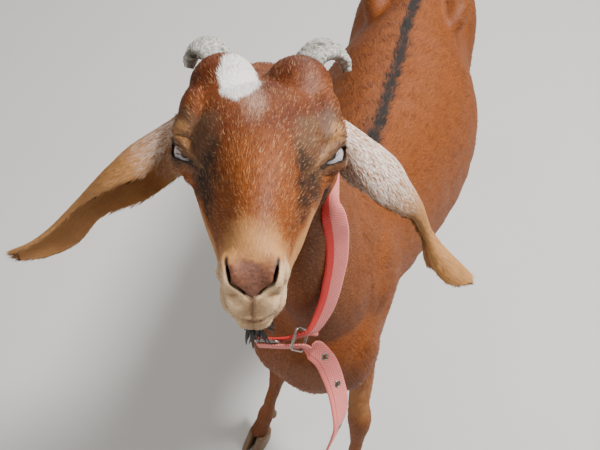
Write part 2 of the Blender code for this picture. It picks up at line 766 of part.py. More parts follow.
def make_eyes(nodes):
    cuts = []
    for side, label in ((1, "left"), (-1, "right")):
        s, t, h = EYE
        r = EYE_RADIUS
        nodes["eye_" + label] = head_ball("eye", s, side * t, h, (r, r, r), None, 3)
        grow = r + 100 * GAP
        cuts.append(head_ball("socket", s, side * t, h, (grow, grow, grow), None, 3))
        facing, long_way, high_way = lid_frame(side)
        turn = Matrix((long_way, high_way, facing)).transposed()
        for out_way, along, over, radii in LID_CUTS:
            place = Vector((s, side * t, h)) + facing * out_way + long_way * along
            place += high_way * over * side
            cuts.append(head_ball("lids", *place, radii, turn, 3))
    boolean(nodes["head"], cuts)


def muzzle_half(s):
    table = np.array(SKULL)
    return float(np.interp(s, table[:, 0], table[:, 1]))


def mouth_cutter():
    """A thin flat band that follows the muzzle and cuts a shallow line between the lips."""
    outline = []
    stations = [MOUTH_BACK + k * (12.4 - MOUTH_BACK) / 9 for k in range(10)]
    for s in stations:
        outline.append((s, muzzle_half(s) + 0.7, 0.82 * muzzle_half(s) - 0.15))
    verts = []
    for rise in (-MOUTH_CUT, MOUTH_CUT):
        for s, out_way, in_way in outline:
            lift = MOUTH_HEIGHT + 0.045 * (12.4 - s) ** 1.5 * 0.25 + rise
            verts.append(on_head(s if s < 12 else 14.0, out_way, lift))
            verts.append(on_head(min(s, 11.6), max(in_way, 0.05), lift))
    return verts, len(outline)


def make_mouth(nodes):
    cuts = []
    for side in (1, -1):
        verts, count = mouth_cutter()
        flipped = []
        for v in verts:
            offset = v - HEAD_PLACE
            t = offset.dot(HEAD_L)
            if abs(t) < 0.0009:
                t = 0.0
            flipped.append(v + HEAD_L * (side * t - offset.dot(HEAD_L)))
        faces = []
        half = 2 * count
        for k in range(count - 1):
            a = 2 * k
            faces.append((a, a + 1, a + 3, a + 2))
            faces.append((half + a, half + a + 2, half + a + 3, half + a + 1))
            faces.append((a, a + 2, half + a + 2, half + a))
            faces.append((a + 1, half + a + 1, half + a + 3, a + 3))
        faces.append((0, half, half + 1, 1))
        faces.append((half - 2, half - 1, 2 * half - 1, 2 * half - 2))
        cuts.append(add_object("lip_cut", flipped, faces))
        turn = Matrix.Rotation(math.radians(-36 * side), 3, "X") @ Matrix.Rotation(math.radians(20), 3, "Y")
        cuts.append(head_ball("nostril", 12.15, side * 0.98, -0.95, (0.80, 0.19, 0.80), turn, 2))
    boolean(nodes["head"], cuts)


def lock(place, way, droop, length, wide, deep, bend, steps=5, count=4):
    """A flat tapered lock of hair as one closed skin."""
    rows = []
    spot = Vector(place)
    heading = Vector(way).normalized()
    for k in range(steps + 1):
        share = k / steps
        shape = math.sin(math.pi * min(1.0, 0.32 + 0.66 * share)) ** 0.8
        rows.append((*spot, wide * max(shape, 0.06), deep * max(shape, 0.10)))
        heading = (heading + Vector(droop) * 0.35 + Vector(bend) * 0.2).normalized()
        spot = spot + heading * length / steps
    return tube("lock", rows, count, Vector((1, 0.2, 0)), steps + 1)


def make_beard(nodes):
    rng = random.Random(11)
    base = head_ball("beard", 9.9, 0, -6.35, (1.15, 0.80, 0.70), None, 2)
    locks = []
    for k in range(8):
        s = 9.2 + 1.6 * rng.random()
        t = rng.uniform(-0.55, 0.55)
        spot = on_head(s, t, -6.5)
        way = Vector((rng.uniform(-0.25, 0.25), rng.uniform(-0.35, 0.1), -1.0))
        bend = Vector((rng.uniform(-0.5, 0.5), rng.uniform(-0.3, 0.5), 0))
        length = rng.uniform(0.034, 0.052)
        locks.append(lock(spot, way, (0, 0.1, -1), length, 0.0042, 0.0022, bend))
    boolean(base, locks, "UNION", "MANIFOLD")
    room = head_ball("beard_room", 9.9, 0, -6.35, (1.15 + 100 * GAP, 0.80 + 100 * GAP, 0.70 + 100 * GAP),
                     None, 2)
    nodes["beard"] = base
    return room


def make_tail_hair(nodes):
    rng = random.Random(5)
    rows = [Vector(row[:3]) for row in resample(TAIL, 30)]
    locks = []
    for k in range(13):
        share = 0.42 + 0.55 * k / 12
        side = -1 if k % 2 else 1
        spot = rows[int(share * 29)]
        way = Vector((side * rng.uniform(0.25, 0.55), 1.0, rng.uniform(-0.2, 0.15)))
        bend = Vector((side * 0.1, 0.2, rng.uniform(-0.3, 0.1)))
        length = rng.uniform(0.050, 0.075)
        locks.append(lock(spot, way, (0, 0.2, -0.8), length, 0.0075, 0.0030, bend))
    boolean(nodes["tail"], locks, "UNION", "MANIFOLD")


# collar loop: x, y, z of the strap's middle, then the way its width runs
COLLAR = [
    (-0.0600, -0.1187, 0.7068, 0.00, -0.30, 1.00),
    (-0.0350, -0.1135, 0.7075, 0.02, -0.32, 1.00),
    (-0.0158, -0.1062, 0.7163, -0.10, -0.35, 0.95),
    (-0.0091, -0.1075, 0.7262, -0.29, -0.42, 0.86),
    (-0.0033, -0.1025, 0.7346, -0.46, -0.50, 0.74),
    (0.0021, -0.0901, 0.7490, -0.59, -0.43, 0.69),
    (0.0050, -0.0803, 0.7673, -0.63, -0.47, 0.61),
    (0.0061, -0.0728, 0.7896, -0.67, -0.51, 0.54),
    (0.0066, -0.0662, 0.8144, -0.71, -0.51, 0.48),
    (0.0046, -0.0613, 0.8438, -0.67, -0.48, 0.56),
    (0.0009, -0.0607, 0.8713, -0.65, -0.51, 0.56),
    (-0.0055, -0.0560, 0.8928, -0.50, -0.58, 0.64),
    (-0.0120, -0.0260, 0.9120, -0.30, -0.45, 0.84),
    (-0.0300, 0.0080, 0.9190, -0.20, -0.25, 0.94),
    (-0.0560, 0.0200, 0.9160, -0.12, -0.15, 0.98),
    (-0.0860, 0.0020, 0.8960, 0.05, -0.30, 0.95),
    (-0.0970, -0.0400, 0.8620, 0.25, -0.45, 0.85),
    (-0.0950, -0.0700, 0.8100, 0.30, -0.45, 0.84),
    (-0.0900, -0.0920, 0.7600, 0.20, -0.40, 0.90),
    (-0.0800, -0.1100, 0.7220, 0.05, -0.33, 0.95),
]
# the strap's loose end, from beside the buckle to its tip
LOOSE_END = [
    (-0.0624, -0.1252, 0.6997, 0.00, -0.30, 1.00),
    (-0.0370, -0.1200, 0.7010, 0.00, -0.30, 1.00),
    (-0.0145, -0.1146, 0.7037, -0.04, -0.30, 1.00),
    (-0.0080, -0.1140, 0.7019, 0.00, -0.12, 1.00),
    (-0.0021, -0.1130, 0.6994, 0.16, 0.60, 0.70),
    (0.0059, -0.1145, 0.6936, 0.32, 0.92, 0.18),
    (0.0140, -0.1182, 0.6871, 0.50, 0.84, 0.15),
    (0.0219, -0.1255, 0.6794, 0.62, 0.78, 0.02),
    (0.0293, -0.1335, 0.6685, 0.64, 0.74, -0.20),
    (0.0375, -0.1453, 0.6534, 0.50, 0.85, -0.10),
    (0.0427, -0.1590, 0.6330, 0.34, 0.94, -0.10),
    (0.0410, -0.1670, 0.6050, 0.27, 0.96, -0.10),
    (0.0370, -0.1740, 0.5740, 0.25, 0.96, -0.10),
]
# the strap's steps in each row, and the row that the keeper stands on
STRAP_STEPS = 2
KEEPER_ROW = 2
KEEPER_REACH = 0.0056
KEEPER_HALF = 0.0187
KEEPER_BACK = 0.0035
EYELETS = (5.5, 8.0, 10.5)
EYELET_SIDE = 0.0022
EYELET_OUT = 0.0046
EYELET_IN = 0.0026
WIRE = 0.0016
STRAP_WIDE = 0.025
STRAP_THICK = 0.0028


def closed_table(rows, count):
    around = rows[-2:] + rows + rows[:3]
    total = len(rows)
    out = []
    for k in range(count):
        place = 2 + total * k / count
        j = int(place)
        u = place - j
        a, b, c, d = (np.array(around[j + m], float) for m in (-1, 0, 1, 2))
        bend = (2 * a - 5 * b + 4 * c - d) * u * u + (3 * b - a - 3 * c + d) * u ** 3
        out.append(0.5 * (2 * b + (c - a) * u + bend))
    return out


def strap_frame(table, k, closed):
    """Place, width way and outward way of a strap at one of its rows."""
    count = len(table)
    after = (k + 1) % count if closed else min(k + 1, count - 1)
    before = k - 1 if closed else max(k - 1, 0)
    ahead = Vector(table[after][:3]) - Vector(table[before][:3])
    ahead.normalize()
    up = Vector(table[k][3:6])
    up = (up - ahead * up.dot(ahead)).normalized()
    return Vector(table[k][:3]), up, ahead.cross(up), ahead


def strap_band(name, table, wide, thick, closed, extra=0.0):
    """A flat band along rows of places and width ways."""
    count = len(table)
    verts = []
    for k in range(count):
        spot, up, out_way, ahead = strap_frame(table, k, closed)
        for a, b in ((1, 1), (1, -1), (-1, -1), (-1, 1)):
            verts.append(spot + up * a * (0.5 * wide + extra) + out_way * b * (0.5 * thick + extra))
    faces = []
    for k in range(count if closed else count - 1):
        low = 4 * k
        high = 4 * ((k + 1) % count)
        for j in range(4):
            nxt = (j + 1) % 4
            faces.append((low + j, low + nxt, high + nxt))
            faces.append((low + j, high + nxt, high + j))
    if not closed:
        faces += [(0, 1, 2), (0, 2, 3)]
        end = 4 * (count - 1)
        faces += [(end, end + 2, end + 1), (end, end + 3, end + 2)]
    return add_object(name, verts, faces)


def wire_frame(name, middle, way_a, way_b, half_a, half_b, radius, sides=6):
    """A closed rectangle of round wire with eased corners."""
    way_a = way_a.normalized()
    way_b = (way_b - way_a * way_b.dot(way_a)).normalized()
    over = way_a.cross(way_b)
    ease = 2.2 * radius
    path = []
    for a, b in ((1, 1), (-1, 1), (-1, -1), (1, -1)):
        if a * b > 0:
            path += [(a * half_a, b * (half_b - ease)), (a * (half_a - ease), b * half_b)]
        else:
            path += [(a * (half_a - ease), b * half_b), (a * half_a, b * (half_b - ease))]
    spots = [middle + way_a * a + way_b * b for a, b in path]
    count = len(spots)
    verts = []
    for k, spot in enumerate(spots):
        ahead = (spots[(k + 1) % count] - spots[k - 1]).normalized()
        out_way = over.cross(ahead)
        for j in range(sides):
            angle = 2 * math.pi * j / sides
            verts.append(spot + out_way * radius * math.cos(angle) + over * radius * math.sin(angle))
    faces = []
    for k in range(count):
        low = sides * k
        high = sides * ((k + 1) % count)
        for j in range(sides):
            nxt = (j + 1) % sides
            faces.append((low + j, low + nxt, high + nxt))
            faces.append((low + j, high + nxt, high + j))
    return add_object(name, verts, faces)


def washer(name, middle, way, outer, inner, half, sides=12):
    """A short pipe; with no inner radius, a plain round peg."""
    way = way.normalized()
    side = way.orthogonal().normalized()
    third = way.cross(side)
    verts = []
    for radius, rise in ((outer, half), (outer, -half), (inner, -half), (inner, half)):
        for j in range(sides):
            angle = 2 * math.pi * j / sides
            spoke = side * math.cos(angle) + third * math.sin(angle)
            verts.append(middle + spoke * radius + way * rise)
    faces = []
    for ring in range(4 if inner > 0 else 1):
        for j in range(sides):
            nxt = (j + 1) % sides
            low = ring * sides
            high = ((ring + 1) % 4) * sides
            faces.append((low + j, low + nxt, high + nxt))
            faces.append((low + j, high + nxt, high + j))
    if inner == 0:
        verts = verts[:2 * sides]
        faces.append(tuple(range(sides)))
        faces.append(tuple(range(2 * sides - 1, sides - 1, -1)))
    return add_object(name, verts, faces)


def make_collar(nodes):
    loop = closed_table(COLLAR, STRAP_STEPS * len(COLLAR))
    nodes["collar_strap"] = strap_band("collar", loop, STRAP_WIDE, STRAP_THICK, True)
    room = strap_band("room", loop, STRAP_WIDE, STRAP_THICK, True, GAP)
    spare = strap_band("room", loop, STRAP_WIDE, STRAP_THICK, True, GAP)
    boolean(nodes["neck"], [room])
    boolean(nodes["head"], [spare])
    loose = resample(LOOSE_END, STRAP_STEPS * (len(LOOSE_END) - 1) + 1)
    nodes["collar_end"] = strap_band("end", loose, STRAP_WIDE, STRAP_THICK, False)
    holes = []
    for k, place in enumerate(EYELETS):
        spot, up, out_way, ahead = strap_frame(loose, int(round(place * STRAP_STEPS)), False)
        spot += up * EYELET_SIDE
        holes.append(washer("hole", spot, out_way, EYELET_OUT + GAP, 0.0, 0.01))
        nodes["eyelet_%d" % (k + 1)] = washer("eyelet", spot, out_way, EYELET_OUT, EYELET_IN, 0.0021)
    boolean(nodes["collar_end"], holes, "DIFFERENCE", "MANIFOLD")
    spot, up, out_way, ahead = strap_frame(loose, 1, False)
    if out_way.y < 0:
        out_way = -out_way
    rise = 0.5 * STRAP_THICK + GAP + WIRE
    nodes["buckle_frame"] = wire_frame("buckle", spot + out_way * rise, ahead, up, 0.0125, 0.0165, WIRE)
    pin = [(*(spot + out_way * rise + ahead * a), 0.0009, 0.0009) for a in (-0.0101, -0.003, 0.004, 0.0101)]
    nodes["buckle_pin"] = tube("pin", pin, 6, up, 4)
    far, up_b, out_b, ahead_b = strap_frame(loop, KEEPER_ROW * STRAP_STEPS, True)
    near, up, out_way, ahead = strap_frame(loose, KEEPER_ROW * STRAP_STEPS, False)
    deep = (near - far)
    along = (up_b + up).normalized()
    deep -= along * deep.dot(along)
    middle = (far + near) / 2 - along.cross(deep).normalized() * KEEPER_BACK
    nodes["keeper_ring"] = wire_frame("keeper", middle, along, deep, KEEPER_HALF,
                                      0.5 * deep.length + KEEPER_REACH, WIRE)


def finish(nodes):
    kinds = {
        "flesh": (("torso", "neck", "leg"), material("coat_bay", BAY, 0.75)),
        "head": (("head",), material("coat_face", BAY_DARK, 0.7)),
        "ear": (("ear",), material("coat_ear", EAR_TAN, 0.75)),
        "horn": (("horn",), material("horn_grey", HORN_GREY, 0.55)),
        "hoof": (("hoof", "dewclaw"), material("hoof_brown", HOOF_BROWN, 0.5)),
        "eye": (("eye",), material("eye_pale", EYE_PALE, 0.12)),
        "beard": (("beard",), material("hair_dark", BEARD_DARK, 0.6)),
        "tail": (("tail",), material("tail_hair", TAIL_DARK, 0.65)),
        "strap": (("collar",), material("webbing_pink", STRAP_PINK, 0.7)),
        "metal": (("buckle", "keeper", "eyelet"), material("plated_steel", STEEL, 0.3, 1.0)),
    }
    lows = np.array([1e9] * 3)
    highs = -lows
    for obj in nodes.values():
        points = np.array([tuple(v.co) for v in obj.data.vertices])
        lows = np.minimum(lows, points.min(axis=0))
        highs = np.maximum(highs, points.max(axis=0))
    shift = Vector((-(lows[0] + highs[0]) / 2, -(lows[1] + highs[1]) / 2, -lows[2]))
    for name, obj in nodes.items():
        obj.name = name
        obj.data.name = name
        obj.data.transform(Matrix.Translation(shift))
        obj.data.materials.clear()
        for words, made in kinds.values():
            if name.split("_")[0] in words:
                obj.data.materials.append(made)
        for face in obj.data.polygons:
            face.use_smooth = True
            face.material_index = 0
        print(name, len(obj.data.polygons))
    print("shift", tuple(round(v, 4) for v in shift), "size", highs - lows)
    print("all", sum(len(obj.data.polygons) for obj in nodes.values()))


def main():
    clear_scene()
    nodes = {}
    make_body(nodes)
    head = fuse("head", skull_pieces() + [neck_piece()], HEAD_VOXEL, 5)
    thin_out(head, HEAD_FACES)
    slice_off(head, NAPE_PLACE - NAPE_WAY * GAP, NAPE_WAY)
    nodes["head"] = head
    make_feet(nodes)
    make_eyes(nodes)
    make_mouth(nodes)
    make_horns(nodes)
    make_ears(nodes)
    boolean(nodes["head"], [make_beard(nodes)])
    make_tail_hair(nodes)
    make_collar(nodes)
    finish(nodes)


main()
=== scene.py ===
# %% [markdown]
# # A standing doe goat in Blender
# The goat is a still, life-size model of a brown doe with hanging ears, a roman nose, horn
# caps and a webbing collar.  The solids come from a CAD part.  Here one skin is grown from
# the same stations and rounded masses as the solids, a short coat is laid over it as thin
# tufts of solid mesh, and eyes, horns, claws and collar get their real finishes.

import math

import bmesh
import bpy
import numpy as np
from mathutils import Matrix, Vector


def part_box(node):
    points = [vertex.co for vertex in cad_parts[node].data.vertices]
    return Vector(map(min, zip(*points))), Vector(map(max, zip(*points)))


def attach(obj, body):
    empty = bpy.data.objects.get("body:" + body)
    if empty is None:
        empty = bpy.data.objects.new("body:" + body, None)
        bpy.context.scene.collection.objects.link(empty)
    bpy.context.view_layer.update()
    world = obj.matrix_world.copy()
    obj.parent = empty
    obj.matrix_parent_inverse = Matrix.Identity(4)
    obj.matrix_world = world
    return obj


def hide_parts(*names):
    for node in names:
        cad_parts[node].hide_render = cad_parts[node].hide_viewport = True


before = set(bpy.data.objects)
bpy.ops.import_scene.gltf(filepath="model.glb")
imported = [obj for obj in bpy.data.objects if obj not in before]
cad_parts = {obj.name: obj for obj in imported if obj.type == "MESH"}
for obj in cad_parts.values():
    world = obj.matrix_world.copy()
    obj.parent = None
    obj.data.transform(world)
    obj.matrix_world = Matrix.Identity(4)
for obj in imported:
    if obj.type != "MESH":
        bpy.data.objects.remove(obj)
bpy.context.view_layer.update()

# %% [markdown]
# ## The head's own frame
# The head is turned to one side and lifted, so its forms are given in its own frame:
# centimetres along the face, to its left and upward.  Typing world coordinates would hide
# that the two halves match.  The frame is placed by one joint fact, the middle of an eye.

# %% Head frame and the way back to the part's frame
HEAD_PLACE = Vector((-0.0528, -0.0977, 0.9880))
HEAD_TURN = math.radians(16.8)
HEAD_LIFT = math.radians(15)
HEAD_ROLL = math.radians(2)
EYE = (0.65, 4.75, 0.50)
EYE_RADIUS = 1.38
ALONG_FLAT = Vector((math.sin(HEAD_TURN), -math.cos(HEAD_TURN), 0))
LEFT_FLAT = Vector((math.cos(HEAD_TURN), math.sin(HEAD_TURN), 0))
UPWARD = Vector((0, 0, 1))
HEAD_A = ALONG_FLAT * math.cos(HEAD_LIFT) + UPWARD * math.sin(HEAD_LIFT)
HEAD_N0 = UPWARD * math.cos(HEAD_LIFT) - ALONG_FLAT * math.sin(HEAD_LIFT)
HEAD_L = LEFT_FLAT * math.cos(HEAD_ROLL) - HEAD_N0 * math.sin(HEAD_ROLL)
HEAD_N = HEAD_N0 * math.cos(HEAD_ROLL) + LEFT_FLAT * math.sin(HEAD_ROLL)
HEAD_TURNED = Matrix((HEAD_A, HEAD_L, HEAD_N)).transposed()


def on_head(s, t, h):
    """A place on the head, given in cm in the head's frame."""
    return HEAD_PLACE + 0.01 * (HEAD_A * s + HEAD_L * t + HEAD_N * h)


def head_coords(points):
    """Head frame coordinates, in cm, of an array of points."""
    offset = (points - np.array(HEAD_PLACE)) * 100
    return [offset @ np.array(way) for way in (HEAD_A, HEAD_L, HEAD_N)]


eye_low, eye_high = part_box("eye_left")
SHIFT = (Vector(eye_low) + Vector(eye_high)) / 2 - on_head(*EYE)
print("shift to the part's frame", [round(v, 4) for v in SHIFT])

# %% [markdown]
# ## Tools for soft forms
# A living form is easiest to rough out as overlapping closed pieces, the way a sculptor
# adds clay: lofts through cross-sections for trunk, neck, legs and skull, balls for muscle
# and bone.  A voxel remesh then melts them into one skin.  Sculpting by hand would give the
# same look, but it could not be measured or changed by numbers.

# %% Mesh tools
RING = 48


def add_object(name, verts, faces):
    mesh = bpy.data.meshes.new(name)
    mesh.from_pydata([tuple(v) for v in verts], [], faces)
    mesh.update()
    made = bpy.data.objects.new(name, mesh)
    bpy.context.scene.collection.objects.link(made)
    return tidy_normals(made)


def tidy_normals(obj):
    work = bmesh.new()
    work.from_mesh(obj.data)
    bmesh.ops.recalc_face_normals(work, faces=work.faces)
    work.to_mesh(obj.data)
    work.free()
    return obj


def loft(name, rings):
    """One closed skin through rings of points, each end closed by a fan."""
    count = len(rings[0])
    verts = [p for ring in rings for p in ring]
    faces = []
    for step in range(len(rings) - 1):
        low = step * count
        for k in range(count):
            nxt = (k + 1) % count
            faces.append((low + k, low + nxt, low + count + nxt, low + count + k))
    for step in (0, len(rings) - 1):
        verts.append(sum((Vector(p) for p in rings[step]), Vector()) / count)
        for k in range(count):
            faces.append((len(verts) - 1, step * count + k, step * count + (k + 1) % count))
    return add_object(name, verts, faces)


def curve_step(a, b, c, d, u):
    """A point of the smooth curve through four neighbours, between the middle two."""
    bend = (2 * a - 5 * b + 4 * c - d) * u * u + (3 * b - a - 3 * c + d) * u ** 3
    return 0.5 * (2 * b + (c - a) * u + bend)


def resample(rows, count):
    """Rows of numbers joined by a smooth curve and read again at even steps."""
    table = np.array(rows, float)
    last = len(table) - 1
    out = []
    for place in np.linspace(0, last, count):
        k = min(int(place), last - 1)
        near = [table[j] for j in (max(k - 1, 0), k, k + 1, min(k + 2, last))]
        out.append(curve_step(*near, place - k))
    return out


def power(value, exponent):
    return math.copysign(abs(value) ** exponent, value)


def section(half_l, half_r, mid, top, low, up_power, low_power):
    """Points of one cross-section as (sideways, upward) pairs."""
    out = []
    for k in range(RING):
        angle = 2 * math.pi * k / RING
        across = math.sin(angle)
        rise = math.cos(angle)
        expo = 2.0 / (up_power if rise > 0 else low_power)
        side = power(across, expo) * (half_l if across > 0 else half_r)
        reach = (top - mid) if rise > 0 else (mid - low)
        out.append((side, mid + power(rise, expo) * reach))
    return out


def tube(name, rows, count=24, across=Vector((1, 0, 0)), steps=None):
    """A skin of elliptic sections along a path of x, y, z, half width, half depth."""
    table = resample(rows, steps or 4 * len(rows))
    path = [Vector(row[:3]) for row in table]
    rings = []
    for k, row in enumerate(table):
        ahead = (path[min(k + 1, len(path) - 1)] - path[max(k - 1, 0)]).normalized()
        side = (across - ahead * across.dot(ahead)).normalized()
        depth = ahead.cross(side)
        ring = []
        for j in range(count):
            angle = 2 * math.pi * j / count
            ring.append(path[k] + side * row[3] * math.cos(angle) + depth * row[4] * math.sin(angle))
        rings.append(ring)
    return loft(name, rings)


def ball(name, place, radii, turn=None, detail=4):
    work = bmesh.new()
    bmesh.ops.create_icosphere(work, subdivisions=detail, radius=1.0)
    spin = turn.to_4x4() if turn is not None else Matrix.Identity(4)
    where = Matrix.Translation(Vector(place)) @ spin @ Matrix.Diagonal((*radii, 1.0))
    bmesh.ops.transform(work, matrix=where, verts=work.verts)
    mesh = bpy.data.meshes.new(name)
    work.to_mesh(mesh)
    work.free()
    made = bpy.data.objects.new(name, mesh)
    bpy.context.scene.collection.objects.link(made)
    return tidy_normals(made)


def head_ball(name, s, t, h, radii, turn=None, detail=4):
    spin = HEAD_TURNED if turn is None else HEAD_TURNED @ turn
    return ball(name, on_head(s, t, h), [0.01 * r for r in radii], spin, detail)


def bake(obj):
    """Replace an object's mesh by what its modifiers make of it."""
    graph = bpy.context.evaluated_depsgraph_get()
    mesh = bpy.data.meshes.new_from_object(obj.evaluated_get(graph))
    obj.modifiers.clear()
    obj.data = mesh
    return obj


def join(name, pieces):
    work = bmesh.new()
    for piece in pieces:
        work.from_mesh(piece.data)
        bpy.data.objects.remove(piece, do_unlink=True)
    mesh = bpy.data.meshes.new(name)
    work.to_mesh(mesh)
    work.free()
    made = bpy.data.objects.new(name, mesh)
    bpy.context.scene.collection.objects.link(made)
    return made


def fuse(name, pieces, voxel, rounds):
    """Melt closed pieces into one skin and ease the joints between them."""
    made = join(name, pieces)
    melt = made.modifiers.new("melt", "REMESH")
    melt.mode = "VOXEL"
    melt.voxel_size = voxel
    ease = made.modifiers.new("ease", "SMOOTH")
    ease.factor = 0.5
    ease.iterations = rounds
    return bake(made)


def boolean(obj, cutters, operation="DIFFERENCE"):
    """Cut or join with closed pieces, one after the other."""
    for cutter in cutters:
        step = obj.modifiers.new("cut", "BOOLEAN")
        step.operation = operation
        step.object = cutter
        step.solver = "MANIFOLD"
        bake(obj)
        bpy.data.objects.remove(cutter, do_unlink=True)
    return obj


def points_of(obj):
    flat = np.empty(len(obj.data.vertices) * 3, np.float32)
    obj.data.vertices.foreach_get("co", flat)
    return flat.reshape(-1, 3).astype(float)


def normals_of(obj):
    flat = np.empty(len(obj.data.vertices) * 3, np.float32)
    obj.data.vertices.foreach_get("normal", flat)
    return flat.reshape(-1, 3).astype(float)


def move_to(obj, points):
    obj.data.vertices.foreach_set("co", points.astype(np.float32).ravel())
    obj.data.update()


# %% [markdown]
# ## Trunk, neck, legs and tail
# A goat's barrel is narrow at the chest, deep and wide at the belly, with a flat back and
# flat croup.  Cross-sections are given as half widths, heights and a power that makes them
# rounder or squarer.  The left flank bulges more than the right, as a full rumen does.

# %% Stations of the body
# y, middle, left half width, right half width, widest height, top, bottom, upper and lower power
TRUNK = [
    (-0.098, -0.018, 0.028, 0.028, 0.560, 0.610, 0.520, 2.0, 2.0),
    (-0.080, -0.018, 0.058, 0.058, 0.556, 0.645, 0.462, 2.0, 2.0),
    (-0.045, -0.018, 0.078, 0.078, 0.550, 0.680, 0.416, 2.0, 2.0),
    (0.010, -0.018, 0.087, 0.087, 0.560, 0.722, 0.392, 1.9, 1.9),
    (0.080, -0.015, 0.090, 0.093, 0.575, 0.750, 0.382, 1.75, 1.9),
    (0.160, -0.008, 0.109, 0.113, 0.560, 0.744, 0.376, 1.8, 2.0),
    (0.250, -0.001, 0.130, 0.133, 0.515, 0.730, 0.366, 1.9, 2.2),
    (0.340, 0.003, 0.149, 0.148, 0.492, 0.724, 0.357, 2.0, 2.3),
    (0.430, 0.004, 0.156, 0.152, 0.488, 0.724, 0.354, 1.95, 2.3),
    (0.510, 0.002, 0.146, 0.139, 0.488, 0.729, 0.372, 1.62, 2.2),
    (0.575, 0.000, 0.120, 0.115, 0.520, 0.737, 0.408, 1.65, 2.2),
    (0.640, 0.000, 0.103, 0.101, 0.555, 0.727, 0.446, 1.9, 2.2),
    (0.700, 0.000, 0.084, 0.083, 0.580, 0.703, 0.485, 2.0, 2.3),
    (0.740, 0.000, 0.058, 0.058, 0.600, 0.672, 0.530, 2.0, 2.3),
    (0.758, 0.000, 0.026, 0.026, 0.610, 0.640, 0.580, 2.0, 2.3),
]
# x, y, z of the axis, half width, half depth
NECK = [
    (-0.013, 0.052, 0.560, 0.080, 0.128),
    (-0.014, 0.034, 0.625, 0.071, 0.120),
    (-0.015, 0.012, 0.695, 0.063, 0.098),
    (-0.028, -0.012, 0.765, 0.053, 0.081),
    (-0.040, -0.028, 0.835, 0.048, 0.069),
    (-0.051, -0.037, 0.900, 0.046, 0.062),
    (-0.060, -0.041, 0.955, 0.041, 0.054),
    (-0.063, -0.043, 0.975, 0.026, 0.034),
]
LEG_FRONT_L = [
    (0.038, 0.030, 0.600, 0.034, 0.070),
    (0.040, 0.045, 0.500, 0.032, 0.062),
    (0.045, 0.036, 0.445, 0.027, 0.046),
    (0.053, 0.010, 0.385, 0.0220, 0.0330),
    (0.060, -0.020, 0.320, 0.0200, 0.0235),
    (0.067, -0.034, 0.280, 0.0225, 0.0245),
    (0.070, -0.040, 0.250, 0.0210, 0.0215),
    (0.072, -0.050, 0.200, 0.0150, 0.0165),
    (0.073, -0.063, 0.130, 0.0145, 0.0165),
    (0.073, -0.071, 0.095, 0.0190, 0.0205),
    (0.073, -0.076, 0.075, 0.0180, 0.0185),
    (0.073, -0.087, 0.052, 0.0195, 0.0195),
    (0.073, -0.096, 0.034, 0.0210, 0.0220),
]
LEG_FRONT_R = [
    (-0.074, 0.045, 0.600, 0.036, 0.070),
    (-0.078, 0.060, 0.500, 0.035, 0.062),
    (-0.079, 0.056, 0.445, 0.030, 0.047),
    (-0.082, 0.044, 0.385, 0.0245, 0.034),
    (-0.088, 0.029, 0.320, 0.0205, 0.0235),
    (-0.092, 0.020, 0.280, 0.0235, 0.0245),
    (-0.095, 0.013, 0.250, 0.0200, 0.0215),
    (-0.101, 0.002, 0.200, 0.0145, 0.0165),
    (-0.111, -0.012, 0.130, 0.0145, 0.0165),
    (-0.116, -0.020, 0.095, 0.0190, 0.0205),
    (-0.119, -0.025, 0.075, 0.0180, 0.0185),
    (-0.123, -0.036, 0.052, 0.0195, 0.0195),
    (-0.126, -0.045, 0.034, 0.0210, 0.0220),
]
LEG_HIND = [
    (0.068, 0.625, 0.600, 0.048, 0.105),
    (0.080, 0.600, 0.510, 0.045, 0.098),
    (0.085, 0.590, 0.440, 0.038, 0.072),
    (0.083, 0.625, 0.375, 0.029, 0.050),
    (0.079, 0.668, 0.305, 0.0215, 0.032),
    (0.076, 0.696, 0.252, 0.0225, 0.0315),
    (0.075, 0.699, 0.215, 0.0190, 0.0240),
    (0.074, 0.694, 0.165, 0.0155, 0.0185),
    (0.074, 0.686, 0.120, 0.0155, 0.0185),
    (0.074, 0.681, 0.093, 0.0195, 0.0215),
    (0.075, 0.675, 0.074, 0.0180, 0.0190),
    (0.076, 0.663, 0.052, 0.0195, 0.0195),
    (0.076, 0.654, 0.034, 0.0210, 0.0220),
]
HIND_STEP = -0.045
# the chest stands a little to the right of the line through the hips
CHEST_ASIDE = -0.018
# muscle and bone of one side: x, y, z, radii, and the tilt about X in degrees
TRUNK_MASSES = [
    (0.053, 0.055, 0.600, 0.040, 0.075, 0.130, 18),
    (0.052, -0.035, 0.555, 0.036, 0.050, 0.080, -10),
    (0.056, 0.060, 0.490, 0.034, 0.066, 0.070, 0),
    (0.070, 0.620, 0.555, 0.050, 0.105, 0.125, -12),
    (0.068, 0.560, 0.686, 0.026, 0.056, 0.034, 0),
    (0.042, 0.722, 0.640, 0.024, 0.030, 0.030, 0),
    (0.028, 0.622, 0.428, 0.034, 0.050, 0.040, 0),
    (0.026, 0.602, 0.392, 0.0085, 0.0085, 0.018, 0),
]
TAIL = [
    (0.000, 0.700, 0.690, 0.022, 0.018),
    (0.000, 0.750, 0.707, 0.019, 0.015),
    (0.000, 0.790, 0.716, 0.015, 0.012),
    (0.001, 0.822, 0.712, 0.012, 0.009),
    (0.002, 0.846, 0.698, 0.008, 0.006),
]


def hind_leg(side):
    """The hind leg's stations; the right foot stands a step further forward."""
    step = HIND_STEP if side < 0 else 0.0
    rows = []
    for x, y, z, wide, deep in LEG_HIND:
        share = min(1.0, max(0.0, (0.5 - z) / 0.45))
        rows.append((side * x, y + step * share, z, wide, deep))
    return rows


LEG_ROWS = {
    "leg_front_left": LEG_FRONT_L,
    "leg_front_right": LEG_FRONT_R,
    "leg_hind_left": hind_leg(1),
    "leg_hind_right": hind_leg(-1),
}

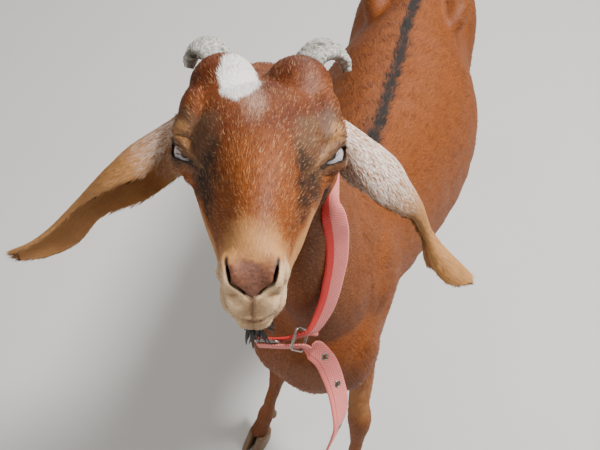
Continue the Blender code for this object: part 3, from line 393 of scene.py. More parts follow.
# %% Melt the body into one form
BODY_VOXEL = 0.005
body_pieces = []
rings = []
for y, aside, left, right, mid, top, low, upper, lower in resample(TRUNK, 80):
    pairs = section(left, right, mid, top, low, upper, lower)
    rings.append([Vector((aside + x, y, z)) for x, z in pairs])
body_pieces.append(loft("trunk", rings))
for side in (1, -1):
    for x, y, z, rx, ry, rz, tilt in TRUNK_MASSES:
        turn = Matrix.Rotation(math.radians(tilt), 3, "X")
        aside = CHEST_ASIDE if y < 0.2 else 0.0
        body_pieces.append(ball("mass", (aside + side * x, y, z), (rx, ry, rz), turn))
    x, y, z = hind_leg(side)[5][:3]
    body_pieces.append(ball("hock", (x, y + 0.020, z + 0.014), (0.011, 0.014, 0.024),
                            Matrix.Rotation(math.radians(14), 3, "X")))
body_pieces += [tube("leg_form", rows) for rows in LEG_ROWS.values()]
body_pieces += [tube("neck_form", NECK, 32), tube("tail_form", TAIL)]
body = fuse("body", body_pieces, BODY_VOXEL, 11)
print("body form", len(body.data.polygons), "faces")

# %% [markdown]
# ## The skull
# What makes this breed's head is its side profile: a forehead that bulges, a convex nose
# and a muzzle that narrows to small lips.  The stations give the profile, and balls add
# the two domes of the forehead, the brows over the eyes, cheeks, nose wings and lips.

# %% Stations of the head and its masses
# along, half width, widest height, top, bottom, upper power, lower power
SKULL = [
    (-10.2, 1.2, 0.6, 1.8, -1.2, 2.0, 2.0),
    (-9.4, 3.2, 0.8, 2.9, -3.6, 2.0, 2.0),
    (-8.0, 4.2, 0.9, 3.1, -5.6, 2.2, 2.0),
    (-6.0, 4.9, 1.5, 3.5, -7.0, 2.5, 1.9),
    (-4.0, 5.4, 1.4, 4.1, -7.6, 2.5, 1.8),
    (-2.0, 5.6, 1.0, 4.6, -7.7, 2.4, 1.8),
    (0.0, 5.2, 0.0, 4.7, -7.5, 2.3, 1.8),
    (2.0, 4.95, -0.4, 4.55, -7.2, 2.2, 1.8),
    (4.0, 4.25, -0.9, 4.25, -6.8, 2.1, 1.9),
    (6.0, 3.5, -1.4, 3.7, -6.4, 2.1, 2.1),
    (8.0, 2.72, -2.0, 2.85, -6.0, 2.1, 2.2),
    (9.8, 2.28, -2.5, 1.6, -5.9, 2.1, 2.2),
    (11.2, 1.95, -2.6, 0.45, -5.6, 2.2, 2.0),
    (12.2, 1.45, -2.8, -0.8, -5.0, 2.1, 2.0),
    (12.6, 0.7, -3.0, -1.9, -4.2, 2.0, 2.0),
]
# rounded masses of one side: along, out, up, then the three radii
HEAD_MASSES = [
    (-4.6, 2.80, 2.9, 3.1, 2.75, 2.60),
    (-2.3, 4.55, 1.9, 2.9, 1.55, 2.20),
    (-0.9, 4.65, 1.25, 2.40, 1.78, 1.75),
    (0.65, 4.75, 0.50, 1.66, 1.66, 1.66),
    (-0.2, 4.45, -0.80, 2.60, 1.45, 1.50),
    (-2.6, 3.15, -3.4, 3.9, 1.75, 3.6),
    (11.00, 1.15, -1.15, 1.50, 1.12, 1.45),
    (11.15, 0.98, -2.95, 1.55, 1.12, 1.35),
    (10.50, 0.40, -5.05, 1.75, 1.05, 1.00),
]
EAR_ROOT = (-3.9, 5.15, 0.35)
HEAD_VOXEL = 0.0021
head_pieces = []
rings = []
for s, wide, mid, top, low, upper, lower in resample(SKULL, 90):
    rings.append([on_head(s, t, h) for t, h in section(wide, wide, mid, top, low, upper, lower)])
head_pieces.append(loft("skull", rings))
for side in (1, -1):
    for s, t, h, rs, rt, rh in HEAD_MASSES:
        head_pieces.append(head_ball("mass", s, side * t, h, (rs, rt, rh)))
    s, t, h = EAR_ROOT
    head_pieces.append(head_ball("boss", s, side * (t - 1.1), h - 0.1, (2.1, 1.3, 2.0)))
head_pieces.append(tube("neck_form", NECK, 32))
head = fuse("head", head_pieces, HEAD_VOXEL, 5)
print("head form", len(head.data.polygons), "faces")

# %% [markdown]
# ## One skin
# Body and head are melted once more, so that the neck runs through without a seam.  The
# mesh is refined where the face needs fine lines and thinned where the body is smooth.
# Then every point moves inward by the depth of the coat that will lie over it.

# %% Skin over the whole animal
SKIN_VOXEL = 0.0022
BODY_COAT = 0.0020
FACE_COAT = 0.0009


def soft_step(value, low, high):
    """0 below low, 1 above high, with a smooth rise between."""
    share = np.clip((value - low) / (high - low), 0, 1)
    return share * share * (3 - 2 * share)


def bump_at(value, middle, half):
    """A rounded bump of height 1 round a middle value."""
    return np.exp(-((value - middle) / half) ** 2)


skin = fuse("skin", [body, head], SKIN_VOXEL, 3)
work = bmesh.new()
work.from_mesh(skin.data)
s, t, h = head_coords(np.array([tuple(v.co) for v in work.verts]))
near_eye = (np.abs(s - EYE[0]) < 3.2) & (np.abs(np.abs(t) - 4.8) < 2.4) & (np.abs(h - EYE[2]) < 3.0)
fine = ((s > 6.0) & (np.abs(t) < 5) & (h > -9)) | near_eye
work.verts.ensure_lookup_table()
chosen = [e for e in work.edges if fine[e.verts[0].index] and fine[e.verts[1].index]]
bmesh.ops.subdivide_edges(work, edges=chosen, cuts=1, use_grid_fill=True, smooth=0.6)
work.to_mesh(skin.data)
work.free()
print("skin", len(skin.data.vertices), "points")

# %% Press the fine forms of the face and move the skin under the coat
MOUTH_HEIGHT = -4.05
MOUTH_BACK = 7.2
# the fold round the upper lip, seen from the front: out, up
LIP_FOLD = [(0.0, -4.12), (0.6, -4.05), (1.1, -3.75), (1.52, -3.25), (1.78, -2.50), (1.95, -1.55),
            (2.02, -0.40)]
# the nostrils' curve in the same view
NOSTRIL_CURVE = [(1.53, 0.00), (1.42, -0.50), (1.25, -0.98), (0.90, -1.34), (0.43, -1.74)]
LID_FACING = Vector((0.52, 0.80, 0.30))
LID_LONG = Vector((0.81, -0.57, 0.12))


def lid_frame(side):
    """Facing, long way and downward way of the opening between the lids, in the head's frame."""
    facing = Vector((LID_FACING.x, side * LID_FACING.y, LID_FACING.z)).normalized()
    long_way = Vector((LID_LONG.x, side * LID_LONG.y, LID_LONG.z))
    long_way = (long_way - facing * long_way.dot(facing)).normalized()
    return facing, long_way, facing.cross(long_way) * side


def lid_coords(s, t, h):
    """Places near an eye as: outward, along the opening, down across it; the nearer eye counts."""
    side = np.where(t < 0, -1.0, 1.0)
    facing, long_way, down = (np.array(way) for way in lid_frame(1))
    from_eye = np.stack([s - EYE[0], t * side - EYE[1], h - EYE[2]], 1)
    return from_eye @ facing, from_eye @ long_way, from_eye @ down


def lid_far(along, down):
    """Rough distance from the opening between the lids, negative inside it."""
    wide = (np.hypot((along + 0.18) / 0.86, (down + 0.13) / 0.46) - 1) * 0.50
    corner = (np.hypot((along - 0.95) / 0.88, (down - 0.11) / 0.15) - 1) * 0.20
    return np.minimum(wide, corner)


def nostril_far(t, h):
    """Distance from the curve of the nostrils, in the front view."""
    path = np.array(resample(NOSTRIL_CURVE, 40))
    return np.hypot(np.abs(t)[:, None] - path[:, 0], h[:, None] - path[:, 1]).min(1)


def fold_far(t, h):
    """Distance from the fold round the upper lip, in the front view."""
    path = np.array(resample(LIP_FOLD, 40))
    return np.hypot(np.abs(t)[:, None] - path[:, 0], h[:, None] - path[:, 1]).min(1)


def lip_line(s):
    """Height of the line between the lips; it rises a little towards the cheek."""
    return MOUTH_HEIGHT + 0.012 * np.maximum(12.4 - s, 0) ** 1.6


def wavy(points, pitch, seed):
    """Soft random waves between -1 and 1 whose crests lie about one pitch apart."""
    pick = np.random.default_rng(seed)
    total = np.zeros(len(points))
    for _ in range(7):
        way = pick.normal(size=3)
        way *= 2 * math.pi / (pitch * np.linalg.norm(way)) * pick.uniform(0.7, 1.4)
        total += np.sin(points @ way + pick.uniform(0, 2 * math.pi))
    return total / 3.6


def pad_half(h):
    """Half width of the bare nose pad at a height."""
    return np.interp(-h, [-0.2, 0.1, 0.85, 1.36, 1.65, 2.15], [1.35, 1.5, 1.3, 0.98, 0.62, 0.0])


def press_face(obj):
    spots = points_of(obj)
    s, t, h = head_coords(spots)
    side = np.abs(t)
    depth = np.zeros(len(spots))
    in_head = s > -12
    rise = h - lip_line(s)
    back = soft_step(s, MOUTH_BACK, MOUTH_BACK + 1.5) * (1 - soft_step(s, 10.9, 11.5))
    depth -= 0.0016 * back * bump_at(rise, 0, 0.11)
    muzzle = np.nonzero(s > 10.2)[0]
    fold = np.full(len(spots), 9.0)
    fold[muzzle] = fold_far(t[muzzle], h[muzzle])
    inside = soft_step(h, -4.3, -3.9) * soft_step(s, 10.2, 11.2)
    depth -= 0.0021 * soft_step(s, 10.2, 11.0) * bump_at(fold, 0, 0.11)
    depth += 0.0007 * soft_step(s, 10.2, 11.0) * bump_at(fold, 0.34, 0.17)
    depth -= 0.0009 * inside * bump_at(t, 0, 0.10) * (1 - soft_step(h, -2.3, -1.9))
    pad_edge = np.abs(side - pad_half(h))
    depth -= 0.0007 * soft_step(s, 11.0, 11.4) * bump_at(pad_edge, 0.12, 0.12) * (h > -2.3) * (h < 0)
    outward, along, down = lid_coords(s, t, h)
    ring = np.hypot((along - 0.25) / 1.42, down / 0.86)
    seen = soft_step(outward, 0.2, 0.8)
    upper = 1 - soft_step(down, -0.3, 0.1)
    depth += 0.0009 * seen * bump_at(ring, 1.0, 0.20) * upper
    depth -= 0.0016 * seen * bump_at(ring, 1.50, 0.16) * upper
    depth += 0.0005 * seen * bump_at(ring, 1.0, 0.18) * (1 - upper)
    depth -= 0.0012 * seen * bump_at(ring, 1.55, 0.18) * (1 - upper)
    depth -= 0.0006 * seen * bump_at(ring, 2.15, 0.16) * (1 - upper)
    depth -= 0.0016 * bump_at(side, 3.3, 0.55) * bump_at(s, 4.4, 1.5) * bump_at(h, 0.9, 1.2)
    depth += 0.0012 * bump_at(side, 2.35, 0.35) * bump_at(s, 8.0, 2.8) * bump_at(h, 1.0, 0.9)
    depth += np.where(in_head, 0.0003, 0.0012) * wavy(spots, 0.045, 3)
    coat = BODY_COAT + (FACE_COAT - BODY_COAT) * soft_step(s, -16, -9)
    move_to(obj, spots + normals_of(obj) * (depth - coat)[:, None])


press_face(skin)

# %% Thin the smooth regions
SKIN_FACES = 150000
s, t, h = head_coords(points_of(skin))
smooth_part = skin.vertex_groups.new(name="smooth_part")
body_share = 1 - 0.9 * soft_step(s, -13, -8)
for level in np.linspace(0.1, 1.0, 10):
    picked = np.nonzero(np.abs(body_share - level) <= 0.05)[0]
    smooth_part.add(picked.tolist(), float(level), "REPLACE")
less = skin.modifiers.new("less", "DECIMATE")
less.ratio = SKIN_FACES / sum(len(p.vertices) - 2 for p in skin.data.polygons)
less.use_collapse_triangulate = True
less.vertex_group = "smooth_part"
bake(skin)
print("thinned skin", len(skin.data.polygons), "triangles")

# %% [markdown]
# ## Ears
# The ears are long folded leaves that hang from behind the eyes: near the head each is
# rolled almost into a pipe, then it opens and flares at the tip.  Each ear follows a path,
# and at every place along it a width and a fold angle bend the leaf into an arc.

# %% Folded ears
EAR_HALF_LEFT = (0.0150, 0.0230, 0.0500, 0.0390, 0.0200, 0.0132, 0.0300, 0.0135)
EAR_HALF_RIGHT = (0.0150, 0.0230, 0.0470, 0.0396, 0.0205, 0.0200, 0.0148, 0.0085)
EAR_FOLD_LEFT = (330, 300, 235, 225, 235, 280, 230, 120)
EAR_FOLD_RIGHT = (330, 290, 205, 190, 180, 170, 160, 140)
EAR_THICK = 0.0024
EAR_PLUG = 0.013
EAR_STEPS = 57
EAR_ARC = 29


def ear_path(side):
    """Places along the ear's fold, from inside the head to the tip, and the fold's facing."""
    s, t, h = EAR_ROOT
    root = on_head(s - 0.1, side * (t + 0.5), h + 0.2)
    if side > 0:
        path = [root, Vector((0.0285, -0.0545, 0.9555)), Vector((0.0485, -0.0575, 0.9363)),
                Vector((0.0672, -0.0549, 0.9125)), Vector((0.0842, -0.0574, 0.8831)),
                Vector((0.1062, -0.0636, 0.8545)), Vector((0.1257, -0.0615, 0.8330))]
        face = [HEAD_A - HEAD_N * 0.5, HEAD_A - HEAD_N * 0.7, Vector((-0.30, -0.78, -0.55)),
                Vector((-0.37, -0.74, -0.55)), Vector((-0.40, -0.72, -0.55)), Vector((-0.45, -0.68, -0.55)),
                Vector((-0.45, -0.68, -0.55)), Vector((-0.30, -0.78, -0.55))]
    else:
        path = [root, Vector((-0.1438, -0.1000, 0.9618)), Vector((-0.1635, -0.1188, 0.9468)),
                Vector((-0.1904, -0.1375, 0.9265)), Vector((-0.2132, -0.1547, 0.9017)),
                Vector((-0.2351, -0.1688, 0.8879)), Vector((-0.2561, -0.1759, 0.8788))]
        face = [HEAD_A - HEAD_N * 0.4, HEAD_A - HEAD_N * 0.6, Vector((0.42, -0.70, -0.50)),
                Vector((0.45, -0.78, -0.38)), Vector((0.42, -0.84, -0.25)), Vector((0.37, -0.90, -0.15)),
                Vector((0.37, -0.92, -0.10)), Vector((0.37, -0.93, -0.08))]
    inside = root + (root - path[1]).normalized() * EAR_PLUG
    return [inside] + path, face


def ear_table(side):
    path, face = ear_path(side)
    folds = EAR_FOLD_LEFT if side > 0 else EAR_FOLD_RIGHT
    halves = EAR_HALF_LEFT if side > 0 else EAR_HALF_RIGHT
    rows = [(*p, *f, half, fold) for p, f, half, fold in zip(path, face, halves, folds)]
    return resample(rows, EAR_STEPS)


def ear_rings(side):
    table = ear_table(side)
    places = [Vector(row[:3]) for row in table]
    out = []
    for k, row in enumerate(table):
        ahead = (places[min(k + 1, len(places) - 1)] - places[max(k - 1, 0)]).normalized()
        front = Vector(row[3:6])
        front = (front - ahead * front.dot(ahead)).normalized()
        across = ahead.cross(front)
        fold = math.radians(row[7])
        radius = 2 * row[6] / fold
        centre = places[k] + front * radius * 0.5
        arcs = ([], [])
        for j in range(EAR_ARC):
            share = j / (EAR_ARC - 1) - 0.5
            edge = 1.0 - 0.55 * abs(2 * share) ** 4
            way = across * math.sin(share * fold) - front * math.cos(share * fold)
            for arc, sign in zip(arcs, (1, -1)):
                arc.append(centre + way * (radius + sign * 0.5 * EAR_THICK * edge))
        out.append(arcs[0] + arcs[1][::-1])
    return out


ears = [loft("ear", ear_rings(side)) for side in (1, -1)]
print("ear faces", [len(ear.data.polygons) for ear in ears])

# %% [markdown]
# ## Eye sockets, lids, nostrils and feet
# Lids look right when they are thick rims that wrap a real ball, so the skin is cut by a
# sphere a hair larger than the eye and by an almond that opens it outward.  The nostrils
# are bent slits, cut by thin lenses.  The legs end at a slanted plane over the claws.

# %% Cut and join the skin
CORONET = 0.040
CORONET_TILT = math.radians(24)
EYE_GAP = 0.03
# rounds of the lids' opening: out, along, down, half sizes along, down and out
LID_CUTS = [
    (1.50, -0.18, -0.13, (0.86, 0.46, 1.25)),
    (1.42, 0.80, 0.10, (0.66, 0.19, 0.80)),
]
# nostril slits, upper and lower: along, out, up, half sizes, lean in degrees
NOSTRILS = [
    (11.95, 1.40, -0.52, (0.55, 0.13, 0.55), -14),
    (12.35, 0.90, -1.34, (0.60, 0.15, 0.62), -50),
]


NOSTRIL_PITCH = math.radians(20)


def foot_frame(rows):
    """Middle of the claws' top and the way the foot points."""
    low = Vector(rows[-1][:3])
    before = Vector(rows[-3][:3])
    ahead = low - before
    ahead.z = 0
    ahead.normalize()
    share = (before.z - CORONET) / (before.z - low.z)
    return before.lerp(low, share), ahead


def slice_off(obj, point, normal):
    """Remove what lies beyond a plane and close the cut."""
    work = bmesh.new()
    work.from_mesh(obj.data)
    near = [v for v in work.verts if (v.co - point).length < 0.06]
    faces = {f for v in near for f in v.link_faces}
    edges = {e for f in faces for e in f.edges}
    verts = {v for f in faces for v in f.verts}
    geom = list(verts) + list(edges) + list(faces)
    bmesh.ops.bisect_plane(work, geom=geom, dist=1e-6, plane_co=point, plane_no=normal, clear_outer=True)
    rim = [e for e in work.edges if e.is_boundary]
    bmesh.ops.triangle_fill(work, use_beauty=True, edges=rim, normal=normal)
    work.to_mesh(obj.data)
    work.free()


for rows in LEG_ROWS.values():
    middle, ahead = foot_frame(rows)
    slice_off(skin, middle, ahead * math.sin(CORONET_TILT) - UPWARD * math.cos(CORONET_TILT))
boolean(skin, ears, "UNION")
cuts = []
for side in (1, -1):
    s, t, h = EYE
    grow = EYE_RADIUS + EYE_GAP
    cuts.append(head_ball("socket", s, side * t, h, (grow, grow, grow), None, 5))
    facing, long_way, down = lid_frame(side)
    turn = Matrix((long_way, down * side, facing)).transposed()
    for out_way, along, lower, radii in LID_CUTS:
        spot = Vector((s, side * t, h)) + facing * out_way + long_way * along + down * lower
        cuts.append(head_ball("lids", *spot, radii, turn, 5))
    for s, t, h, radii, lean in NOSTRILS:
        turn = Matrix.Rotation(math.radians(lean * side), 3, "X")
        turn = turn @ Matrix.Rotation(NOSTRIL_PITCH, 3, "Y")
        cuts.append(head_ball("nostril", s, side * t, h, radii, turn, 4))
boolean(skin, cuts)
tidy_normals(skin)
print("cut skin", len(skin.data.polygons), "faces")

# %% [markdown]
# ## Materials
# Every surface is a small net of nodes.  Colours are written as sRGB hex values, as a
# picture editor shows them, and one function turns them to linear light.  One more
# function adds a node with its settings and links, so each material reads as a recipe.

# %% Colour and node helpers


def linear(code):
    """sRGB hex to linear red, green, blue and full opacity."""
    parts = [int(code[k:k + 2], 16) / 255 for k in (1, 3, 5)]
    return (*[p / 12.92 if p <= 0.04045 else ((p + 0.055) / 1.055) ** 2.4 for p in parts], 1.0)


def add_node(tree, kind, links=None, **settings):
    """Add one node; links gives sockets either a value or another node's socket."""
    made = tree.nodes.new("ShaderNode" + kind)
    for key, value in settings.items():
        setattr(made, key, value)
    for socket, source in (links or {}).items():
        if isinstance(source, bpy.types.NodeSocket):
            tree.links.new(source, made.inputs[socket])
        else:
            made.inputs[socket].default_value = source
    return made


def new_material(name, rough, **shine):
    """A material with one shader; returns it, its tree and its shader."""
    made = bpy.data.materials.new(name)
    made.use_nodes = True
    shader = made.node_tree.nodes["Principled BSDF"]
    shader.inputs["Roughness"].default_value = rough
    for key, value in shine.items():
        shader.inputs[key.replace("_", " ").title().replace("Ior", "IOR")].default_value = value
    return made, made.node_tree, shader


def mixed(tree, share, low, high):
    """Socket of a colour that goes from low to high as share goes from 0 to 1."""
    made = add_node(tree, "Mix", {0: share, 6: low, 7: high}, data_type="RGBA")
    return made.outputs[2]


def noise(tree, per_metre, detail=3.0, rough=0.55, place=None):
    where = place or add_node(tree, "TexCoord").outputs["Object"]
    return add_node(tree, "TexNoise", {"Vector": where, "Scale": per_metre, "Detail": detail,
                                       "Roughness": rough}).outputs["Fac"]


def spread(tree, value, low, high):
    """Stretch a socket's range low..high to 0..1."""
    return add_node(tree, "MapRange", {"Value": value, "From Min": low, "From Max": high}).outputs["Result"]


def store(obj, name, values):
    """Keep four numbers per point on the mesh, for its material to read."""
    held = obj.data.attributes.new(name, "FLOAT_COLOR", "POINT")
    held.data.foreach_set("color", np.ascontiguousarray(values, dtype=np.float32).ravel())


def read(tree, name):
    """Sockets of the four numbers kept under a name."""
    source = add_node(tree, "Attribute", attribute_name=name)
    parts = add_node(tree, "SeparateColor", {0: source.outputs["Color"]})
    return [*parts.outputs, source.outputs["Alpha"]]


def settle(obj, slot, *nodes):
    """Move a finished piece to the part's frame and let it stand for its solids."""
    obj.data.transform(Matrix.Translation(SHIFT))
    for face in obj.data.polygons:
        face.use_smooth = True
    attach(obj, "root")
    if nodes:
        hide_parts(*nodes)
    print(obj.name, len(obj.data.polygons), "faces")


# %% [markdown]
# ## Eyes
# A goat's eye is a pale globe with a lying slit for a pupil, and its clear front is wet.
# The slit is drawn by distance from the eye's axis, kept on each point of the ball, and a
# glossy shader gives the wet spark.  The slit sits high, close under the upper lid, so its
# near-black is partly the pupil and partly painted shade of the lid over the ball.  A
# painted picture would do it too, but not as sharply.

# %% Wet pale eyes
# cornea over a pale iris: clear and wet, so it shows small hard lights
eye_wet, tree, shader = new_material("wet_pale_iris", 0.06, ior=1.38, coat_weight=0.6, coat_roughness=0.03)
across, upright, reach, _ = read(tree, "gaze")
far = add_node(tree, "Math", {0: across, 1: 0.5}, operation="SUBTRACT").outputs[0]
# the slit's height puts it just under the upper lid: its dark is partly pupil, partly painted shade of the
# lid
high = add_node(tree, "Math", {0: upright, 1: 0.61}, operation="SUBTRACT").outputs[0]
far = add_node(tree, "Math", {0: far, 1: 0.16}, operation="DIVIDE").outputs[0]
high = add_node(tree, "Math", {0: high, 1: 0.045}, operation="DIVIDE").outputs[0]
far = add_node(tree, "Math", {0: far, 1: 4.0}, operation="POWER").outputs[0]
high = add_node(tree, "Math", {0: high, 1: 2.0}, operation="POWER").outputs[0]
slit_shade = add_node(tree, "Math", {0: far, 1: high}, operation="ADD").outputs[0]
streaks = noise(tree, 900.0, 4.0)
iris = mixed(tree, streaks, linear("#857E80"), linear("#C2BABA"))
iris = mixed(tree, spread(tree, reach, 0.62, 0.70), iris, linear("#4A342C"))
iris = mixed(tree, spread(tree, reach, 0.74, 0.86), iris, linear("#7C5348"))
# near-black slit: the pupil and painted shade of the upper lid on the ball
iris = mixed(tree, spread(tree, slit_shade, 1.25, 0.8), iris, linear("#15110F"))
tree.links.new(iris, shader.inputs["Base Color"])

for side, label in ((1, "left"), (-1, "right")):
    s, t, h = EYE
    eye = head_ball("eyeball_" + label, s, side * t, h, [EYE_RADIUS] * 3, None, 5)
    middle = on_head(s, side * t, h)
    gaze = (HEAD_A * 0.79 + HEAD_L * side * 0.39 + HEAD_N * 0.47).normalized()
    level = HEAD_N.cross(gaze).normalized()
    upright = gaze.cross(level)
    rays = (points_of(eye) - np.array(middle)) / (0.01 * EYE_RADIUS)
    ahead = rays @ np.array(gaze)
    wide = np.where(ahead > 0, rays @ np.array(level), 1.0)
    tall = np.where(ahead > 0, rays @ np.array(upright), 1.0)
    store(eye, "gaze", np.stack([0.5 + 0.5 * wide, 0.5 + 0.5 * tall, np.hypot(wide, tall), ahead], 1))
    eye.data.materials.append(eye_wet)
    settle(eye, "eye_pale", "eye_" + label)

# %% [markdown]
# ## Horn caps
# Short horn caps sit on the back corners of the domes and curl outward.  Horn grows in
# rings, so the tube gets real ridges across its length, and its grey is mottled with dark
# and chalky spots.  The ridges are moved points, so they show in the outline as well.

# %% Mottled horn
# along, out and up in the head's frame, half width, half depth, in cm
HORN_ROWS = [
    (-6.0, 2.8, 2.4, 1.30, 0.90),
    (-7.0, 3.3, 3.9, 1.55, 0.88),
    (-7.8, 4.1, 4.7, 1.55, 0.80),
    (-8.1, 5.0, 4.6, 1.40, 0.72),
    (-7.9, 5.65, 3.9, 1.05, 0.58),
    (-7.5, 5.85, 3.1, 0.55, 0.36),
]
HORN_REACH_LEFT = 1.28
HORN_STEPS = 90
HORN_RINGS = 17
# weathered horn: dull, chalky where it flakes, darker in its pits
horn_grey, tree, shader = new_material("weathered_horn", 0.62)
flakes = spread(tree, noise(tree, 420.0, 5.0, 0.7), 0.38, 0.62)
pits = spread(tree, noise(tree, 1300.0, 3.0, 0.6), 0.52, 0.66)
grey = mixed(tree, flakes, linear("#7E7A70"), linear("#CFCBC1"))
grey = mixed(tree, pits, grey, linear("#4A463F"))
stains = spread(tree, noise(tree, 120.0, 3.0, 0.6), 0.56, 0.66)
grey = mixed(tree, stains, grey, linear("#5E594F"))
tree.links.new(grey, shader.inputs["Base Color"])
grit = noise(tree, 900.0, 4.0, 0.7)
rise = add_node(tree, "Bump", {"Height": grit, "Strength": 0.35, "Distance": 0.0004})
tree.links.new(rise.outputs["Normal"], shader.inputs["Normal"])

for side, label in ((1, "left"), (-1, "right")):
    across = (HEAD_A * 0.94 + HEAD_L * side * 0.34).normalized()
    reach = HORN_REACH_LEFT if side > 0 else 1.0
    root = HORN_ROWS[0][1]
    rows = []
    for s, t, h, wide, deep in HORN_ROWS:
        rows.append((*on_head(s, side * (root + reach * (t - root)), h), 0.01 * wide, 0.01 * deep))
    horn = tube("horn_cap_" + label, rows, 40, across, HORN_STEPS)
    spots = points_of(horn)
    along = np.minimum(np.arange(len(spots)) // 40, HORN_STEPS - 1) / (HORN_STEPS - 1)
    ridge = np.sin(2 * math.pi * HORN_RINGS * along + 1.2 * wavy(spots, 0.02, 8))
    press = -0.0006 + 0.00022 * ridge + 0.0004 * wavy(spots, 0.011, 9)
    ends = np.where(along > 0.97, 0.4, 1.0)
    move_to(horn, spots + normals_of(horn) * (press * ends)[:, None])
    horn.data.materials.append(horn_grey)
    settle(horn, "horn_grey", "horn_" + label)

# %% [markdown]
# ## Claws
# A goat walks on two claws, each with a flat sole, a straight inner wall and a toe that
# narrows.  Behind and above them hang two small dewclaws.  Three outlines are lofted from
# the slanted top to the sole; fine rings show how the horn grows downward.

# %% Claws and dewclaws
CLAW_RINGS = ((0.0, 0.022, 0.0175, 0.0), (0.12, 0.0236, 0.0181, 0.002), (0.35, 0.0255, 0.0188, 0.006),
              (0.7, 0.0300, 0.0192, 0.012), (0.97, 0.0338, 0.0195, 0.0176), (1.0, 0.0332, 0.0190, 0.018))
CLEFT = 0.0040
# hoof horn: brown, smooth, faintly ringed, worn dull at the ground
hoof_brown, tree, shader = new_material("hoof_horn", 0.48)
place = add_node(tree, "TexCoord").outputs["Object"]
layers = add_node(tree, "TexWave", {"Vector": place, "Scale": 95.0, "Distortion": 2.0, "Detail": 3.0},
                  bands_direction="Z").outputs["Fac"]
brown = mixed(tree, spread(tree, noise(tree, 160.0), 0.3, 0.7), linear("#4A3524"), linear("#8A6A4C"))
brown = mixed(tree, layers, brown, linear("#6A4E36"))
tree.links.new(brown, shader.inputs["Base Color"])
rise = add_node(tree, "Bump", {"Height": layers, "Strength": 0.35, "Distance": 0.0005})
tree.links.new(rise.outputs["Normal"], shader.inputs["Normal"])


def claw_outline(length, width, count=48):
    """An oval with a straight inner side, pointed a little at the toe."""
    out = []
    for k in range(count):
        angle = 2 * math.pi * k / count
        along = math.cos(angle)
        wide = width * (0.5 + 0.5 * power(math.sin(angle), 0.9))
        if along > 0:
            wide *= 1.0 - 0.22 * along ** 3
        out.append((length * power(along, 0.85), wide))
    return out


for name, rows in LEG_ROWS.items():
    middle, ahead = foot_frame(rows)
    right = Vector((ahead.y, -ahead.x, 0))
    tip_way = ahead * math.sin(CORONET_TILT) - UPWARD * math.cos(CORONET_TILT)
    outer = 1 if name.endswith("left") else -1
    for side, label in ((1, "outer"), (-1, "inner")):
        way = right * (1 if right.x > 0 else -1) * outer * side
        across = tip_way.cross(way).normalized()
        if across.dot(ahead) < 0:
            across = -across
        rings = []
        for share, long_, wide, slide in CLAW_RINGS:
            ring = []
            for along, out_way in claw_outline(long_, wide):
                high = middle + across * along + way * (0.5 * CLEFT + out_way) + ahead * slide
                flat = Vector((middle.x, middle.y, 0)) + ahead * (along + slide)
                flat += way * (0.5 * CLEFT + out_way)
                ring.append(high.lerp(flat, share))
            rings.append(ring)
        claw = loft(name.replace("leg", "claw") + "_" + label, rings)
        claw.data.materials.append(hoof_brown)
        settle(claw, "hoof_brown", name.replace("leg", "hoof") + "_" + label)
        spot = Vector(rows[-3][:3]) - ahead * 0.0185 + way * 0.0105
        dew = ball(name.replace("leg", "spur") + "_" + label, spot, (0.0060, 0.0078, 0.0103),
                   Matrix.Rotation(math.radians(-30), 3, "X"), 3)
        dew.data.materials.append(hoof_brown)
        settle(dew, "hoof_brown", name.replace("leg", "dewclaw") + "_" + label)

# %% [markdown]
# ## The collar
# The collar is one inch webbing that runs twice past the buckle and hangs on as a loose
# end with metal eyelets.  The band follows a table of places and of the way its width
# runs, which lets it twist as stiff webbing does.  Its colours and weave follow two
# numbers kept on each point: how far across the band, and how far along it.

# %% Strap tables and band
COLLAR = [
    (-0.0600, -0.1187, 0.7068, 0.00, -0.30, 1.00),
    (-0.0350, -0.1135, 0.7075, 0.02, -0.32, 1.00),
    (-0.0158, -0.1062, 0.7163, -0.10, -0.35, 0.95),
    (-0.0091, -0.1075, 0.7262, -0.29, -0.42, 0.86),
    (-0.0033, -0.1025, 0.7346, -0.46, -0.50, 0.74),
    (0.0021, -0.0901, 0.7490, -0.59, -0.43, 0.69),
    (0.0050, -0.0803, 0.7673, -0.63, -0.47, 0.61),
    (0.0061, -0.0728, 0.7896, -0.67, -0.51, 0.54),
    (0.0066, -0.0662, 0.8144, -0.71, -0.51, 0.48),
    (0.0046, -0.0613, 0.8438, -0.67, -0.48, 0.56),
    (0.0009, -0.0607, 0.8713, -0.65, -0.51, 0.56),
    (-0.0055, -0.0560, 0.8928, -0.50, -0.58, 0.64),
    (-0.0120, -0.0260, 0.9120, -0.30, -0.45, 0.84),
    (-0.0300, 0.0080, 0.9190, -0.20, -0.25, 0.94),
    (-0.0560, 0.0200, 0.9160, -0.12, -0.15, 0.98),
    (-0.0860, 0.0020, 0.8960, 0.05, -0.30, 0.95),
    (-0.0970, -0.0400, 0.8620, 0.25, -0.45, 0.85),
    (-0.0950, -0.0700, 0.8100, 0.30, -0.45, 0.84),
    (-0.0900, -0.0920, 0.7600, 0.20, -0.40, 0.90),
    (-0.0800, -0.1100, 0.7220, 0.05, -0.33, 0.95),
]
